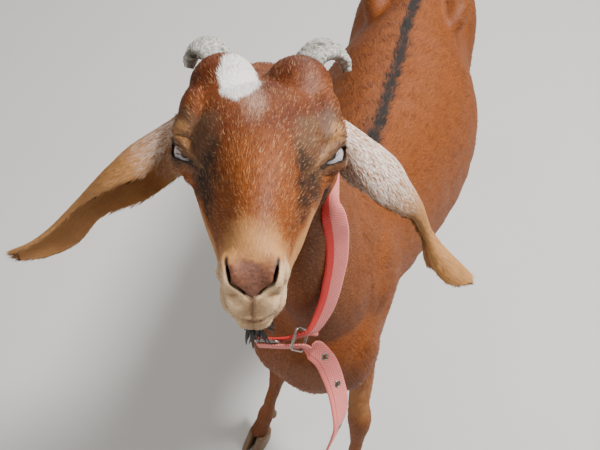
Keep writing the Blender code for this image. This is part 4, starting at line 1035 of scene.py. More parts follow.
LOOSE_END = [
    (-0.0624, -0.1252, 0.6997, 0.00, -0.30, 1.00),
    (-0.0370, -0.1200, 0.7010, 0.00, -0.30, 1.00),
    (-0.0145, -0.1146, 0.7037, -0.04, -0.30, 1.00),
    (-0.0080, -0.1140, 0.7019, 0.00, -0.12, 1.00),
    (-0.0021, -0.1130, 0.6994, 0.16, 0.60, 0.70),
    (0.0059, -0.1145, 0.6936, 0.32, 0.92, 0.18),
    (0.0140, -0.1182, 0.6871, 0.50, 0.84, 0.15),
    (0.0219, -0.1255, 0.6794, 0.62, 0.78, 0.02),
    (0.0293, -0.1335, 0.6685, 0.64, 0.74, -0.20),
    (0.0375, -0.1453, 0.6534, 0.50, 0.85, -0.10),
    (0.0427, -0.1590, 0.6330, 0.34, 0.94, -0.10),
    (0.0410, -0.1670, 0.6050, 0.27, 0.96, -0.10),
    (0.0370, -0.1740, 0.5740, 0.25, 0.96, -0.10),
]
EYELETS = (5.5, 8.0, 10.5)
EYELET_SIDE = 0.0022
STRAP_WIDE = 0.025
STRAP_THICK = 0.0028
WIRE = 0.0016
# webbing profile, corner to corner round the band: share across, share of thickness
PROFILE = [(-1 + 0.125 * k, 0.97) for k in range(1, 16)]
PROFILE = [(-0.985, 0.55)] + PROFILE + [(0.985, 0.55), (0.985, -0.55)]
PROFILE += [(1 - 0.125 * k, -0.97) for k in range(1, 16)] + [(-0.985, -0.55)]


def closed_table(rows, count):
    around = [np.array(row, float) for row in rows[-2:] + rows + rows[:3]]
    out = []
    for k in range(count):
        place = 2 + len(rows) * k / count
        j = int(place)
        out.append(curve_step(*around[j - 1:j + 3], place - j))
    return out


def strap_frame(table, k, closed):
    """Place, width way, outward way and running way of a strap at one of its rows."""
    count = len(table)
    after = (k + 1) % count if closed else min(k + 1, count - 1)
    before = k - 1 if closed else max(k - 1, 0)
    ahead = (Vector(table[after][:3]) - Vector(table[before][:3])).normalized()
    up = Vector(table[k][3:6])
    up = (up - ahead * up.dot(ahead)).normalized()
    return Vector(table[k][:3]), up, ahead.cross(up), ahead


def webbing(name, table, closed):
    """The woven band, with its across and along numbers kept on its points."""
    verts = []
    marks = []
    along = 0.0
    last = None
    for k in range(len(table)):
        spot, up, out_way = strap_frame(table, k, closed)[:3]
        along += (spot - last).length if last is not None else 0.0
        last = spot
        for a, b in PROFILE:
            verts.append(spot + up * a * 0.5 * STRAP_WIDE + out_way * b * 0.5 * STRAP_THICK)
            marks.append((0.5 + 0.5 * a, along, 0.0 if closed else 1.0, 1.0))
    count = len(PROFILE)
    total = len(table)
    faces = []
    for k in range(total if closed else total - 1):
        low = count * k
        high = count * ((k + 1) % total)
        for j in range(count):
            nxt = (j + 1) % count
            faces.append((low + j, low + nxt, high + nxt, high + j))
    if not closed:
        faces.append(tuple(range(count)))
        faces.append(tuple(reversed(range(count * (total - 1), count * total))))
    made = add_object(name, verts, faces)
    store(made, "weave", marks)
    return made


# %% Woven webbing in two colours
# woven polyester: matt, slightly fuzzy, threads 1.1 mm apart drawn a little coarser to show
THREAD = 0.0016
webbing_mat, tree, shader = new_material("woven_polyester", 0.78, sheen_weight=0.08, sheen_roughness=0.4)
share, along, is_end, _ = read(tree, "weave")
turns = math.pi * STRAP_WIDE / THREAD
threads = add_node(tree, "Math", {0: share, 1: turns}, operation="MULTIPLY").outputs[0]
threads = add_node(tree, "Math", {0: threads}, operation="SINE").outputs[0]
picks = add_node(tree, "Math", {0: along, 1: math.pi / THREAD}, operation="MULTIPLY").outputs[0]
picks = add_node(tree, "Math", {0: picks}, operation="SINE").outputs[0]
cross = add_node(tree, "Math", {0: threads, 1: picks}, operation="MULTIPLY").outputs[0]
shade = spread(tree, cross, -1.0, 1.0)
pink = mixed(tree, shade, linear("#D6645C"), linear("#EE9188"))
red = mixed(tree, shade, linear("#C81E1E"), linear("#E93A34"))
wear = noise(tree, 260.0, 4.0)
pink = mixed(tree, spread(tree, wear, 0.55, 0.75), pink, linear("#D3948A"))
both = mixed(tree, spread(tree, share, 0.655, 0.675), pink, red)
salmon = mixed(tree, shade, linear("#D9605A"), linear("#EC8A82"))
plain_end = mixed(tree, spread(tree, share, 0.215, 0.195), pink, salmon)
line = add_node(tree, "Math", {0: share, 1: 0.225, 2: 0.012}, operation="COMPARE").outputs[0]
plain_end = mixed(tree, line, plain_end, linear("#A83A3A"))
both = mixed(tree, is_end, both, plain_end)
tree.links.new(both, shader.inputs["Base Color"])
rise = add_node(tree, "Bump", {"Height": cross, "Strength": 0.6, "Distance": 0.0004})
tree.links.new(rise.outputs["Normal"], shader.inputs["Normal"])

STEPS = 12
loop = closed_table(COLLAR, STEPS * len(COLLAR))
strap = webbing("collar_band", loop, True)
strap.data.materials.append(webbing_mat)
settle(strap, "webbing_pink", "collar_strap")
loose = resample(LOOSE_END, STEPS * (len(LOOSE_END) - 1) + 1)
tongue = webbing("collar_tongue", loose, False)
EYELET_SPOTS = []
for place in EYELETS:
    spot, up, out_way, ahead = strap_frame(loose, int(round(place * 2)) * STEPS // 2, False)
    EYELET_SPOTS.append((spot + up * EYELET_SIDE, up, out_way, ahead))
holes = []
for spot, up, out_way, ahead in EYELET_SPOTS:
    rows = [(*(spot + out_way * a), 0.0034, 0.0034) for a in (-0.004, 0.0, 0.004)]
    holes.append(tube("punch", rows, 32, up, 3))
boolean(tongue, holes)
tongue.data.materials.clear()
tongue.data.materials.append(webbing_mat)
tongue.data.polygons.foreach_set("material_index", np.zeros(len(tongue.data.polygons), np.int32))
print("woven end keeps its marks", "weave" in tongue.data.attributes)
settle(tongue, "webbing_pink", "collar_end")

# %% [markdown]
# ## Buckle, keeper and eyelets
# The metal parts are bent from round wire and pressed from thin tube, then plated, so they
# are tubes along closed paths here too.  A plated surface is a metal with a low roughness;
# fine scratches are left to a little noise in that roughness.

# %% Plated wire
# nickel plated steel: bright, slightly dulled by handling
plated, tree, shader = new_material("nickel_plated_steel", 0.28, metallic=1.0)
tarnish = spread(tree, noise(tree, 700.0, 4.0, 0.6), 0.35, 0.7)
shine = mixed(tree, tarnish, linear("#B9B5AC"), linear("#7F7A70"))
tree.links.new(shine, shader.inputs["Base Color"])
rough = add_node(tree, "MapRange", {"Value": noise(tree, 500.0), "To Min": 0.22, "To Max": 0.45})
tree.links.new(rough.outputs["Result"], shader.inputs["Roughness"])


def wire_loop(name, spots, over, radius, sides=14):
    """Round wire bent along a closed path of places."""
    count = len(spots)
    verts = []
    for k, spot in enumerate(spots):
        ahead = (spots[(k + 1) % count] - spots[k - 1]).normalized()
        out_way = over.cross(ahead).normalized()
        for j in range(sides):
            angle = 2 * math.pi * j / sides
            verts.append(spot + out_way * radius * math.cos(angle) + over * radius * math.sin(angle))
    faces = []
    for k in range(count):
        low = sides * k
        high = sides * ((k + 1) % count)
        for j in range(sides):
            nxt = (j + 1) % sides
            faces.append((low + j, low + nxt, high + nxt, high + j))
    return add_object(name, verts, faces)


def round_frame(middle, way_a, way_b, half_a, half_b, ease):
    """Places along a rectangle with round corners."""
    spots = []
    for corner in range(4):
        turn = corner * math.pi / 2
        a0 = (half_a - ease) * (1 if corner in (0, 3) else -1)
        b0 = (half_b - ease) * (1 if corner in (0, 1) else -1)
        for k in range(7):
            angle = turn + k * math.pi / 12
            spots.append(middle + way_a * (a0 + ease * math.cos(angle))
                         + way_b * (b0 + ease * math.sin(angle)))
    return spots


spot, up, out_way, ahead = strap_frame(loose, STEPS // 2, False)
if out_way.y < 0:
    out_way = -out_way
rise = 0.5 * STRAP_THICK + 0.0003 + WIRE
frame_spots = round_frame(spot + out_way * rise, ahead, up, 0.0125, 0.0165, 0.0038)
metal = [(wire_loop("buckle_wire", frame_spots, ahead.cross(up), WIRE), "buckle_frame")]
pin = [(*(spot + out_way * rise + ahead * a), 0.0009, 0.0009) for a in (-0.0106, -0.003, 0.004, 0.0106)]
metal.append((tube("buckle_tongue", pin, 12, up, 12), "buckle_pin"))
far_side, up_b = strap_frame(loop, 2 * STEPS, True)[:2]
near_side, up, out_way, ahead = strap_frame(loose, 2 * STEPS, False)
along = (up_b + up).normalized()
deep = near_side - far_side
deep -= along * deep.dot(along)
over = along.cross(deep).normalized()
middle = (far_side + near_side) / 2 - over * 0.0035
keeper_spots = round_frame(middle, along, deep.normalized(), 0.0187, 0.5 * deep.length + 0.0056, 0.0040)
metal.append((wire_loop("keeper_wire", keeper_spots, over, WIRE), "keeper_ring"))
for k, (spot, up, out_way, ahead) in enumerate(EYELET_SPOTS):
    ring = [spot + (up * math.cos(a) + ahead * math.sin(a)) * 0.0034
            for a in (2 * math.pi * j / 36 for j in range(36))]
    eyelet = wire_loop("pressed_eyelet_%d" % (k + 1), ring, out_way, 0.0012)
    spots = points_of(eyelet)
    rise = (spots - np.array(spot)) @ np.array(out_way)
    move_to(eyelet, spots + np.outer(rise * 0.9, np.array(out_way)))
    metal.append((eyelet, "eyelet_%d" % (k + 1)))
for piece, name in metal:
    piece.data.materials.append(plated)
    settle(piece, "plated_steel", name)

# %% [markdown]
# ## Where each colour lies
# The markings are laid down by formulas in the head's and the body's own coordinates, so
# that skin and hair can share them: eight soft masks, each between 0 and 1.  Random waves
# fray their edges, as hairs of two colours mix at a border.  The dark mask also holds
# painted shade: near-black round the nostril openings.  Painting them on a picture would
# tie them to one unwrap and one resolution.

# %% Masks of the markings
EAR_TABLES = {side: np.array(ear_table(side)) for side in (1, -1)}


def ear_share(points):
    """How far out each point lies on an ear, 0 at the root and 1 at the tip, or -1 off the ears."""
    share = np.full(len(points), -1.0)
    s, t, h = head_coords(points)
    for side, table in EAR_TABLES.items():
        near = np.nonzero((t * side > 6.3) & (s > -12) & (h < 3))[0]
        gaps = np.linalg.norm(points[near][:, None] - table[None, :, :3], axis=2)
        best = gaps.argmin(1)
        close = gaps[np.arange(len(near)), best] < 0.045
        share[near[close]] = (best / (EAR_STEPS - 1))[close]
    return share


def markings(points):
    """Masks at an array of points, as two sets of four."""
    s, t, h = head_coords(points)
    side = np.abs(t)
    x, y, z = points.T
    fray = wavy(points, 0.012, 21)
    fine = wavy(points, 0.004, 22)
    broad = wavy(points, 0.05, 23)
    ragged = 0.35 * fray + 0.2 * fine
    ear = ear_share(points)
    on_ear = ear >= 0
    head_part = soft_step(s, -11, -8) * ~on_ear
    outward, along, down = lid_coords(s, t, h)
    near_lid = soft_step(outward, 0.3, 0.8) * head_part
    rim = lid_far(along, down) + 0.02 * ragged
    lid = near_lid * (1 - soft_step(rim, 0.07, 0.20))
    lid_skin = near_lid * (1 - soft_step(rim, 0.30, 0.75))
    over_lid = near_lid * bump_at(rim, 0.55, 0.14) * (1 - soft_step(down, -0.2, 0.2))
    deep = head_part * soft_step(h, 0.5, 2.5) * (1 - soft_step(s, 2.0, 7.0)) * (0.72 + 0.28 * broad)
    edge_h = np.interp(s, [3.3, 4.2, 5.2, 6.3, 7.9, 9.4, 10.0],
                       [-1.4, -1.0, -0.4, -0.83, -0.97, -0.95, -0.8])
    stripe = soft_step(side + 0.5 * ragged, 1.9, 2.9) * soft_step(h + 0.5 * ragged - edge_h, -0.25, 0.45)
    stripe *= soft_step(s + 0.4 * ragged, 2.9, 4.5) * (1 - 0.65 * soft_step(s, 6.2, 8.2))
    stripe *= (0.78 + 0.12 * fray) * (1 - soft_step(s + 0.3 * ragged, 8.6, 10.0))
    brow_top = np.interp(side, [1.8, 2.5, 4.0, 5.6], [2.6, 1.5, -0.2, -0.8])
    grey = soft_step(s + 0.5 * ragged, brow_top - 0.5, brow_top + 0.7) * soft_step(side, 1.9, 3.0)
    grey *= (1 - soft_step(s, 4.2, 5.6)) * soft_step(h, -0.2, 0.6)
    grey = head_part * np.maximum(grey * (0.78 + 0.25 * fray), 0.8 * lid_skin)
    spine = (1 - soft_step(np.abs(x) + 0.0012 * fray, 0.0065, 0.0095)) * soft_step(z, 0.63, 0.66)
    spine *= soft_step(y, 0.06, 0.12)
    crest = (1 - soft_step(np.abs(x + 0.018 + (z - 0.75) * 0.13) + 0.0015 * fray, 0.004, 0.010))
    crest *= soft_step(y, -0.005, 0.012) * soft_step(z, 0.72, 0.76) * (1 - soft_step(s, -12, -9.5))
    patch = np.sqrt((s + 5.2) ** 2 + (side - 4.6) ** 2 + (h + 4.6) ** 2) + ragged
    under_ear = (1 - soft_step(patch, 1.9, 3.2)) * ~on_ear
    tail_top = soft_step(y, 0.765, 0.80) * soft_step(z, 0.66, 0.69)
    knees = 0.35 * (1 - soft_step(z + 0.01 * fray, 0.05, 0.13))
    beard = head_part * soft_step(-h, 6.3, 6.9) * soft_step(s, 7.5, 8.5)
    dark = np.maximum.reduce([head_part * stripe, spine, crest * ~on_ear, under_ear, 0.92 * lid,
                              0.85 * tail_top, knees, beard])
    spot_far = np.sqrt((s - 0.5) ** 2 + (side - 5.5) ** 2 + (h - 2.2) ** 2)
    tan = np.maximum(0.55 * (1 - soft_step(spot_far + 0.3 * ragged, 0.35, 0.95)), 0.35 * over_lid)
    cheek = soft_step(edge_h - h + 0.3 * ragged, 0.1, 1.2) * soft_step(s, 2.4, 5.0)
    bridge = soft_step(s + 0.6 * ragged, 8.8, 10.6)
    tan = head_part * np.maximum.reduce([tan, 0.8 * cheek, 0.85 * bridge])
    belly = 0.35 * (1 - soft_step(z, 0.36, 0.42)) * soft_step(z, 0.28, 0.33)
    ear_tan = np.where(t > 0, 0.92, 0.78 + 0.15 * soft_step(ear, 0.35, 0.8)) + 0.10 * fray
    tan = np.maximum.reduce([tan, belly, np.where(on_ear, ear_tan, 0)])
    below_nose = soft_step(s + 0.3 * ragged, 10.2, 11.2) * (1 - soft_step(h + 0.3 * ragged, -0.6, 0.1))
    chin = soft_step(s, 8.2, 10.2) * (1 - soft_step(h + 0.4 * ragged, -4.4, -3.4))
    cream = head_part * np.maximum(below_nose, 0.7 * chin)
    poll = np.sqrt(((s + 2.7) / 3.2) ** 2 + ((t + 1.4) / 1.5) ** 2) + 0.24 * ragged
    white = head_part * soft_step(h, 1.5, 2.5) * (1 - soft_step(poll, 0.86, 1.04))
    mixed_far = np.sqrt(((s - 0.6) / 2.2) ** 2 + ((t + 0.3) / 0.9) ** 2) + 0.4 * ragged
    edge_far = np.abs(t - 3.6) / 1.3 + np.abs(s + 3.0) / 3.2 + 0.5 * ragged
    roan = np.maximum(0.22 * (1 - soft_step(mixed_far, 0.4, 1.3)),
                      0.04 * (1 - soft_step(edge_far, 0.3, 1.1)))
    roan = head_part * roan * soft_step(h, 2.2, 3.2)
    ear_pale = np.where(t > 0, 1 - soft_step(ear + 0.12 * ragged, 0.28, 0.58),
                        0.8 * (1 - soft_step(ear + 0.12 * ragged, 0.14, 0.36)))
    roan = np.maximum(roan, np.where(on_ear, ear_pale, 0))
    pad = soft_step(pad_half(h) - np.abs(t - 0.02), -0.06, 0.10)
    pad *= 1 - soft_step(h + 0.25 * ragged, -0.20, 0.28)
    pad *= soft_step(s, 10.8, 11.3)
    middle = 1 - soft_step(side, 0.25, 0.95)
    tip = pad * bump_at(h, -1.98, 0.13) * bump_at(t, 0, 0.35)
    seam = soft_step(s, 7.5, 8.5) * (1 - soft_step(s, 11.0, 11.6)) * bump_at(h, lip_line(s), 0.16)
    muzzle = np.nonzero(s > 10.4)[0]
    fold = np.zeros(len(points))
    fold[muzzle] = bump_at(fold_far(t[muzzle], h[muzzle]), 0, 0.17) * soft_step(s[muzzle], 10.4, 11.2)
    groove = soft_step(s, 11.0, 11.5) * bump_at(t, 0, 0.3)
    groove *= soft_step(-h, 1.9, 2.3) * (1 - soft_step(-h, 3.6, 4.0))
    # near-black round the nostrils' curve: painted shade inside the nostril openings
    slit_shade = np.zeros(len(points))
    slit_shade[muzzle] = 1 - soft_step(nostril_far(t[muzzle], h[muzzle]), 0.06, 0.19)
    slit_shade *= soft_step(s, 10.8, 11.3)
    under_slit = bump_at(np.hypot(side - 1.05, h + 1.98), 0, 0.30) * soft_step(s, 11.0, 11.5)
    below_tip = bump_at(t, 0, 0.60) * soft_step(-h, 1.95, 2.4) * soft_step(s, 10.8, 11.4)
    cream *= 1 - np.maximum(0.7 * under_slit, 0.6 * below_tip)
    grey = np.maximum.reduce([grey, under_slit, 0.6 * below_tip])
    tan = tan * (1 - np.maximum.reduce([0.8 * under_slit, 0.7 * below_tip, pad]))
    cream = cream * (1 - pad)
    roan = np.maximum(roan, 0.8 * tip)
    # the nostrils' painted shade joins the dark mask
    dark = np.maximum(dark, head_part * slit_shade)
    teat = (1 - soft_step(z, 0.395, 0.425)) * bump_at(y, 0.605, 0.05)
    teat *= 1 - soft_step(np.abs(x), 0.05, 0.06)
    teat *= soft_step(z, 0.30, 0.34)
    lines = np.maximum.reduce([0.8 * seam, 0.6 * fold, 0.35 * groove])
    pad *= (0.72 + 0.24 * middle) * (1 - 0.6 * tip)
    bare = np.maximum.reduce([head_part * pad, head_part * lines, teat]) * (1 - slit_shade)
    return (np.clip(np.stack([deep, dark, grey, tan], 1), 0, 1),
            np.clip(np.stack([cream, white, roan, bare], 1), 0, 1))


# %% The coat's colours as one recipe for skin and hair
COAT = {
    "bay_low": "#532308", "bay_high": "#96511B", "deep_low": "#3A1503", "deep_high": "#6C300B",
    "grey": "#62452F", "tan": "#BC8650", "dark": "#1A110B", "roan_low": "#AC7652", "roan_high": "#F2DFD0",
    "cream": "#DDB990", "white_low": "#C6BCB0", "white": "#F8F5F0",
    "bare": "#573A2E", "bare_high": "#825644",
}


def coat_colour(tree, vary):
    """Socket of the coat's colour; vary is a socket between 0 and 1 that differs from hair to hair."""
    colour = {key: linear(value) for key, value in COAT.items()}
    deep, dark, grey, tan = read(tree, "marks_a")
    cream, white, roan, bare = read(tree, "marks_b")
    made = mixed(tree, vary, colour["bay_low"], colour["bay_high"])
    made = mixed(tree, deep, made, mixed(tree, vary, colour["deep_low"], colour["deep_high"]))
    made = mixed(tree, grey, made, colour["grey"])
    made = mixed(tree, tan, made, colour["tan"])
    speckle = mixed(tree, spread(tree, vary, 0.3, 0.6), colour["roan_low"], colour["roan_high"])
    made = mixed(tree, roan, made, speckle)
    made = mixed(tree, cream, made, colour["cream"])
    made = mixed(tree, dark, made, colour["dark"])
    made = mixed(tree, white, made, mixed(tree, vary, colour["white_low"], colour["white"]))
    return mixed(tree, bare, made, mixed(tree, vary, colour["bare"], colour["bare_high"]))


# hide under a short coat: satin, its fine bump stands for hairs too short to model
hide, tree, shader = new_material("short_haired_hide", 0.62, ior=1.45, specular_ior_level=0.35)
grain = noise(tree, 520.0, 4.0, 0.65)
tree.links.new(coat_colour(tree, spread(tree, grain, 0.3, 0.7)), shader.inputs["Base Color"])
rise = add_node(tree, "Bump", {"Height": grain, "Strength": 0.35, "Distance": 0.0008})
tree.links.new(rise.outputs["Normal"], shader.inputs["Normal"])
skin_a, skin_b = markings(points_of(skin))
store(skin, "marks_a", skin_a)
store(skin, "marks_b", skin_b)
skin.data.materials.clear()
skin.data.materials.append(hide)
skin.data.polygons.foreach_set("material_index", np.zeros(len(skin.data.polygons), np.int32))
print("dark share", round(float(skin_a[:, 1].mean()), 3))
print("white share", round(float(skin_b[:, 1].mean()), 3))

# %% Unwrap the skin
bpy.context.view_layer.objects.active = skin
for other in bpy.context.selected_objects:
    other.select_set(False)
skin.select_set(True)
skin.data.uv_layers.new(name="OFBake")
bpy.ops.object.mode_set(mode="EDIT")
bpy.ops.mesh.select_all(action="SELECT")
bpy.ops.uv.smart_project(angle_limit=math.radians(66), island_margin=0.002)
bpy.ops.object.mode_set(mode="OBJECT")
print("unwrapped", len(skin.data.uv_layers["OFBake"].data), "corners")

# %% [markdown]
# ## The coat
# The coat is short and lies flat, so most of it reads as a sheen with fine streaks.  Each
# tuft is a thin closed spindle of six triangles: a sunk root, a three-cornered belly and a
# tip.  Hair curves would be lighter to make, but a solid spindle also exports as a mesh.
# Every tuft starts at a random place on the skin, leans along the lie of the hair there
# and takes the skin's own normal for its shading, which gives a sleek surface.

# %% The skin as arrays
skin.data.calc_loop_triangles()
tri_count = len(skin.data.loop_triangles)
tri_verts = np.empty(tri_count * 3, np.int32)
tri_loops = np.empty(tri_count * 3, np.int32)
skin.data.loop_triangles.foreach_get("vertices", tri_verts)
skin.data.loop_triangles.foreach_get("loops", tri_loops)
tri_verts = tri_verts.reshape(-1, 3)
skin_points = points_of(skin)
skin_normals = normals_of(skin)
corner_uv = np.empty(len(skin.data.loops) * 2, np.float32)
skin.data.uv_layers["OFBake"].data.foreach_get("uv", corner_uv)
tri_uv = corner_uv.reshape(-1, 2)[tri_loops].reshape(-1, 3, 2)
corners = skin_points[tri_verts]
edge_b = corners[:, 1] - corners[:, 0]
edge_c = corners[:, 2] - corners[:, 0]
tri_area = 0.5 * np.linalg.norm(np.cross(edge_b, edge_c), axis=1)
tri_middle = corners.mean(axis=1)
print("skin area", round(float(tri_area.sum()), 3), "square metres")

# %% The lie, the length and the crowding of the hair
COLLAR_PATH = np.array([row[:3] for row in loop])


def unit(ways):
    return ways / np.maximum(np.linalg.norm(ways, axis=1), 1e-9)[:, None]


def coat_plan(points):
    """Lie, length, half width and crowding of the hair at each point, all in metres."""
    s, t, h = head_coords(points)
    x, y, z = points.T
    ear = ear_share(points)
    on_ear = ear >= 0
    head_axis, head_side, head_up = (np.array(way) for way in (HEAD_A, HEAD_L, HEAD_N))
    facing = soft_step(s, -9, -2)[:, None]
    sideways = np.sign(t)[:, None] * soft_step(np.abs(t), 1.0, 4.0)[:, None]
    face_lie = -head_axis * (0.5 + 0.5 * facing) + head_side * 0.35 * sideways
    face_lie = face_lie - head_up * (0.7 * soft_step(np.abs(t), 2.6, 4.4) * soft_step(-h, -2.5, 3))[:, None]
    neck_lie = np.array([0.02, 0.25, -1.0]) + np.zeros_like(points)
    low = 1 - soft_step(z, 0.36, 0.47)
    flank = soft_step(np.abs(x), 0.03, 0.12)
    down = 0.15 + 0.75 * flank
    body_lie = np.stack([0.25 * np.sign(x) * (1 - flank), np.ones(len(x)), -down], 1)
    leg_lie = np.array([0.0, 0.1, -1.0]) + np.zeros_like(points)
    in_head = soft_step(s, -12, -8)
    in_neck = soft_step(z, 0.66, 0.76) * (1 - soft_step(y, 0.04, 0.12))
    rear = soft_step(y, 0.60, 0.74)[:, None]
    body_lie = body_lie * (1 - rear) + np.array([0, 0.35, -1.0]) * rear
    chest = (1 - soft_step(y, -0.02, 0.08))[:, None]
    body_lie = body_lie * (1 - chest) + np.array([0, 0.1, -1.0]) * chest
    shoulder = soft_step(y, -0.08, 0.0) * (1 - soft_step(y, 0.10, 0.22))
    shoulder = (shoulder * soft_step(z, 0.50, 0.60))[:, None]
    shoulder_lie = np.stack([0.3 * np.sign(x), np.full(len(x), 0.8), np.full(len(x), -0.5)], 1)
    body_lie = body_lie * (1 - shoulder) + shoulder_lie * shoulder
    under = (low * (1 - soft_step(z, 0.30, 0.40)))[:, None]
    tail_part = (soft_step(y, 0.76, 0.78) * soft_step(z, 0.64, 0.66))[:, None]
    lie = body_lie * (1 - under) + leg_lie * under
    lie = lie * (1 - tail_part) + np.array([0, 1.0, 0.0]) * tail_part
    lie = lie * (1 - in_neck[:, None]) + neck_lie * in_neck[:, None]
    lie = lie * (1 - in_head[:, None]) + face_lie * in_head[:, None]
    for side, table in EAR_TABLES.items():
        here = on_ear & (t * side > 0)
        step = np.clip((ear[here] * (EAR_STEPS - 1)).astype(int), 1, EAR_STEPS - 2)
        lie[here] = unit(table[step + 1, :3] - table[step - 1, :3])
    sway = np.stack([wavy(points, 0.06, 31 + k) for k in range(3)], 1)
    lie = unit(unit(lie) + 0.16 * sway)
    length = 0.0150 - 0.0015 * in_neck - 0.005 * (1 - soft_step(z, 0.24, 0.40))
    half = 0.00058 + np.zeros(len(points))
    muzzle = soft_step(s, 5.5, 11.0)
    length = length * (1 - in_head) + (0.0066 - 0.0030 * muzzle) * in_head
    half = half * (1 - in_head) + (0.00034 - 0.00008 * muzzle) * in_head
    length = np.where(on_ear, 0.0075, length)
    half = np.where(on_ear, 0.00036, half)
    crowd = 1.0 + 6.5 * in_head + 3.5 * in_head * soft_step(s, -6, 0)
    crowd = np.where(on_ear, 6.0, crowd) + 0.7 * (1 - soft_step(z, 0.24, 0.40))
    return lie, length, half, crowd


BARE_ENOUGH = 0.35
LID_RIM = 0.09
NOSTRIL_RIM = 0.30
SOLE_HEIGHT = 0.030
STRAP_CLEAR = 0.0125


def bare_places(points):
    """True where no hair grows: nose, lips, eye rims, teats, the soles of the legs and under the strap."""
    s, t, h = head_coords(points)
    bare = markings(points)[1][:, 3] > BARE_ENOUGH
    outward, along, down = lid_coords(s, t, h)
    bare |= (lid_far(along, down) < LID_RIM) & (outward > 0.4)
    muzzle = np.nonzero(s > 10.6)[0]
    bare[muzzle] |= nostril_far(t[muzzle], h[muzzle]) < NOSTRIL_RIM
    bare |= (h < 0.1) & (h > -2.15) & (s > 11.0) & (np.abs(t) < pad_half(h) + 0.05)
    bare |= points[:, 2] < SOLE_HEIGHT
    near = np.nonzero((points[:, 2] > 0.66) & (points[:, 2] < 0.96) & (points[:, 1] < 0.06))[0]
    gaps = np.linalg.norm(points[near][:, None] - COLLAR_PATH[None, ::2], axis=2).min(1)
    bare[near[gaps < STRAP_CLEAR]] = True
    return bare


tri_crowd = coat_plan(tri_middle)[3]
tri_weight = tri_area * tri_crowd * ~bare_places(tri_middle)
for side in (1, -1):
    s, t, h = head_coords(tri_middle)
    middle = np.array(on_head(EYE[0], side * EYE[1], EYE[2]))
    tri_weight[np.linalg.norm(tri_middle - middle, axis=1) < 0.01 * (EYE_RADIUS + 0.09)] = 0

# %% Grow the tufts
# satin hair: each tuft has its own shade, darker at the root and paler at the tip; some tufts,
# most on the face, get pale tips that are partly pale hairs and partly painted glints
hair, tree, shader = new_material("short_coat_hair", 0.58, ior=1.5, specular_ior_level=0.28)
luck, up_hair, other_luck, pale = read(tree, "tuft")
vary = add_node(tree, "Math", {0: luck, 1: 0.65}, operation="MULTIPLY").outputs[0]
vary = add_node(tree, "Math", {0: up_hair, 1: 0.3, 2: vary}, operation="MULTIPLY_ADD").outputs[0]
base = coat_colour(tree, vary)
# pale tip colour: partly real pale hairs, partly painted glints of light on the coat
shade = mixed(tree, spread(tree, other_luck, 0.80, 1.0), base, linear("#D9A777"))
weak = add_node(tree, "Math", {0: other_luck, 1: 0.88}, operation="GREATER_THAN").outputs[0]
weak = add_node(tree, "Math", {0: weak, 1: pale}, operation="MULTIPLY").outputs[0]
pale_tips_and_glints = mixed(tree, weak, base, shade)
tree.links.new(pale_tips_and_glints, shader.inputs["Base Color"])


ROOT_SUNK = 0.0008
HAIR_SWING = 0.16
PATCH_HALF = 0.0015


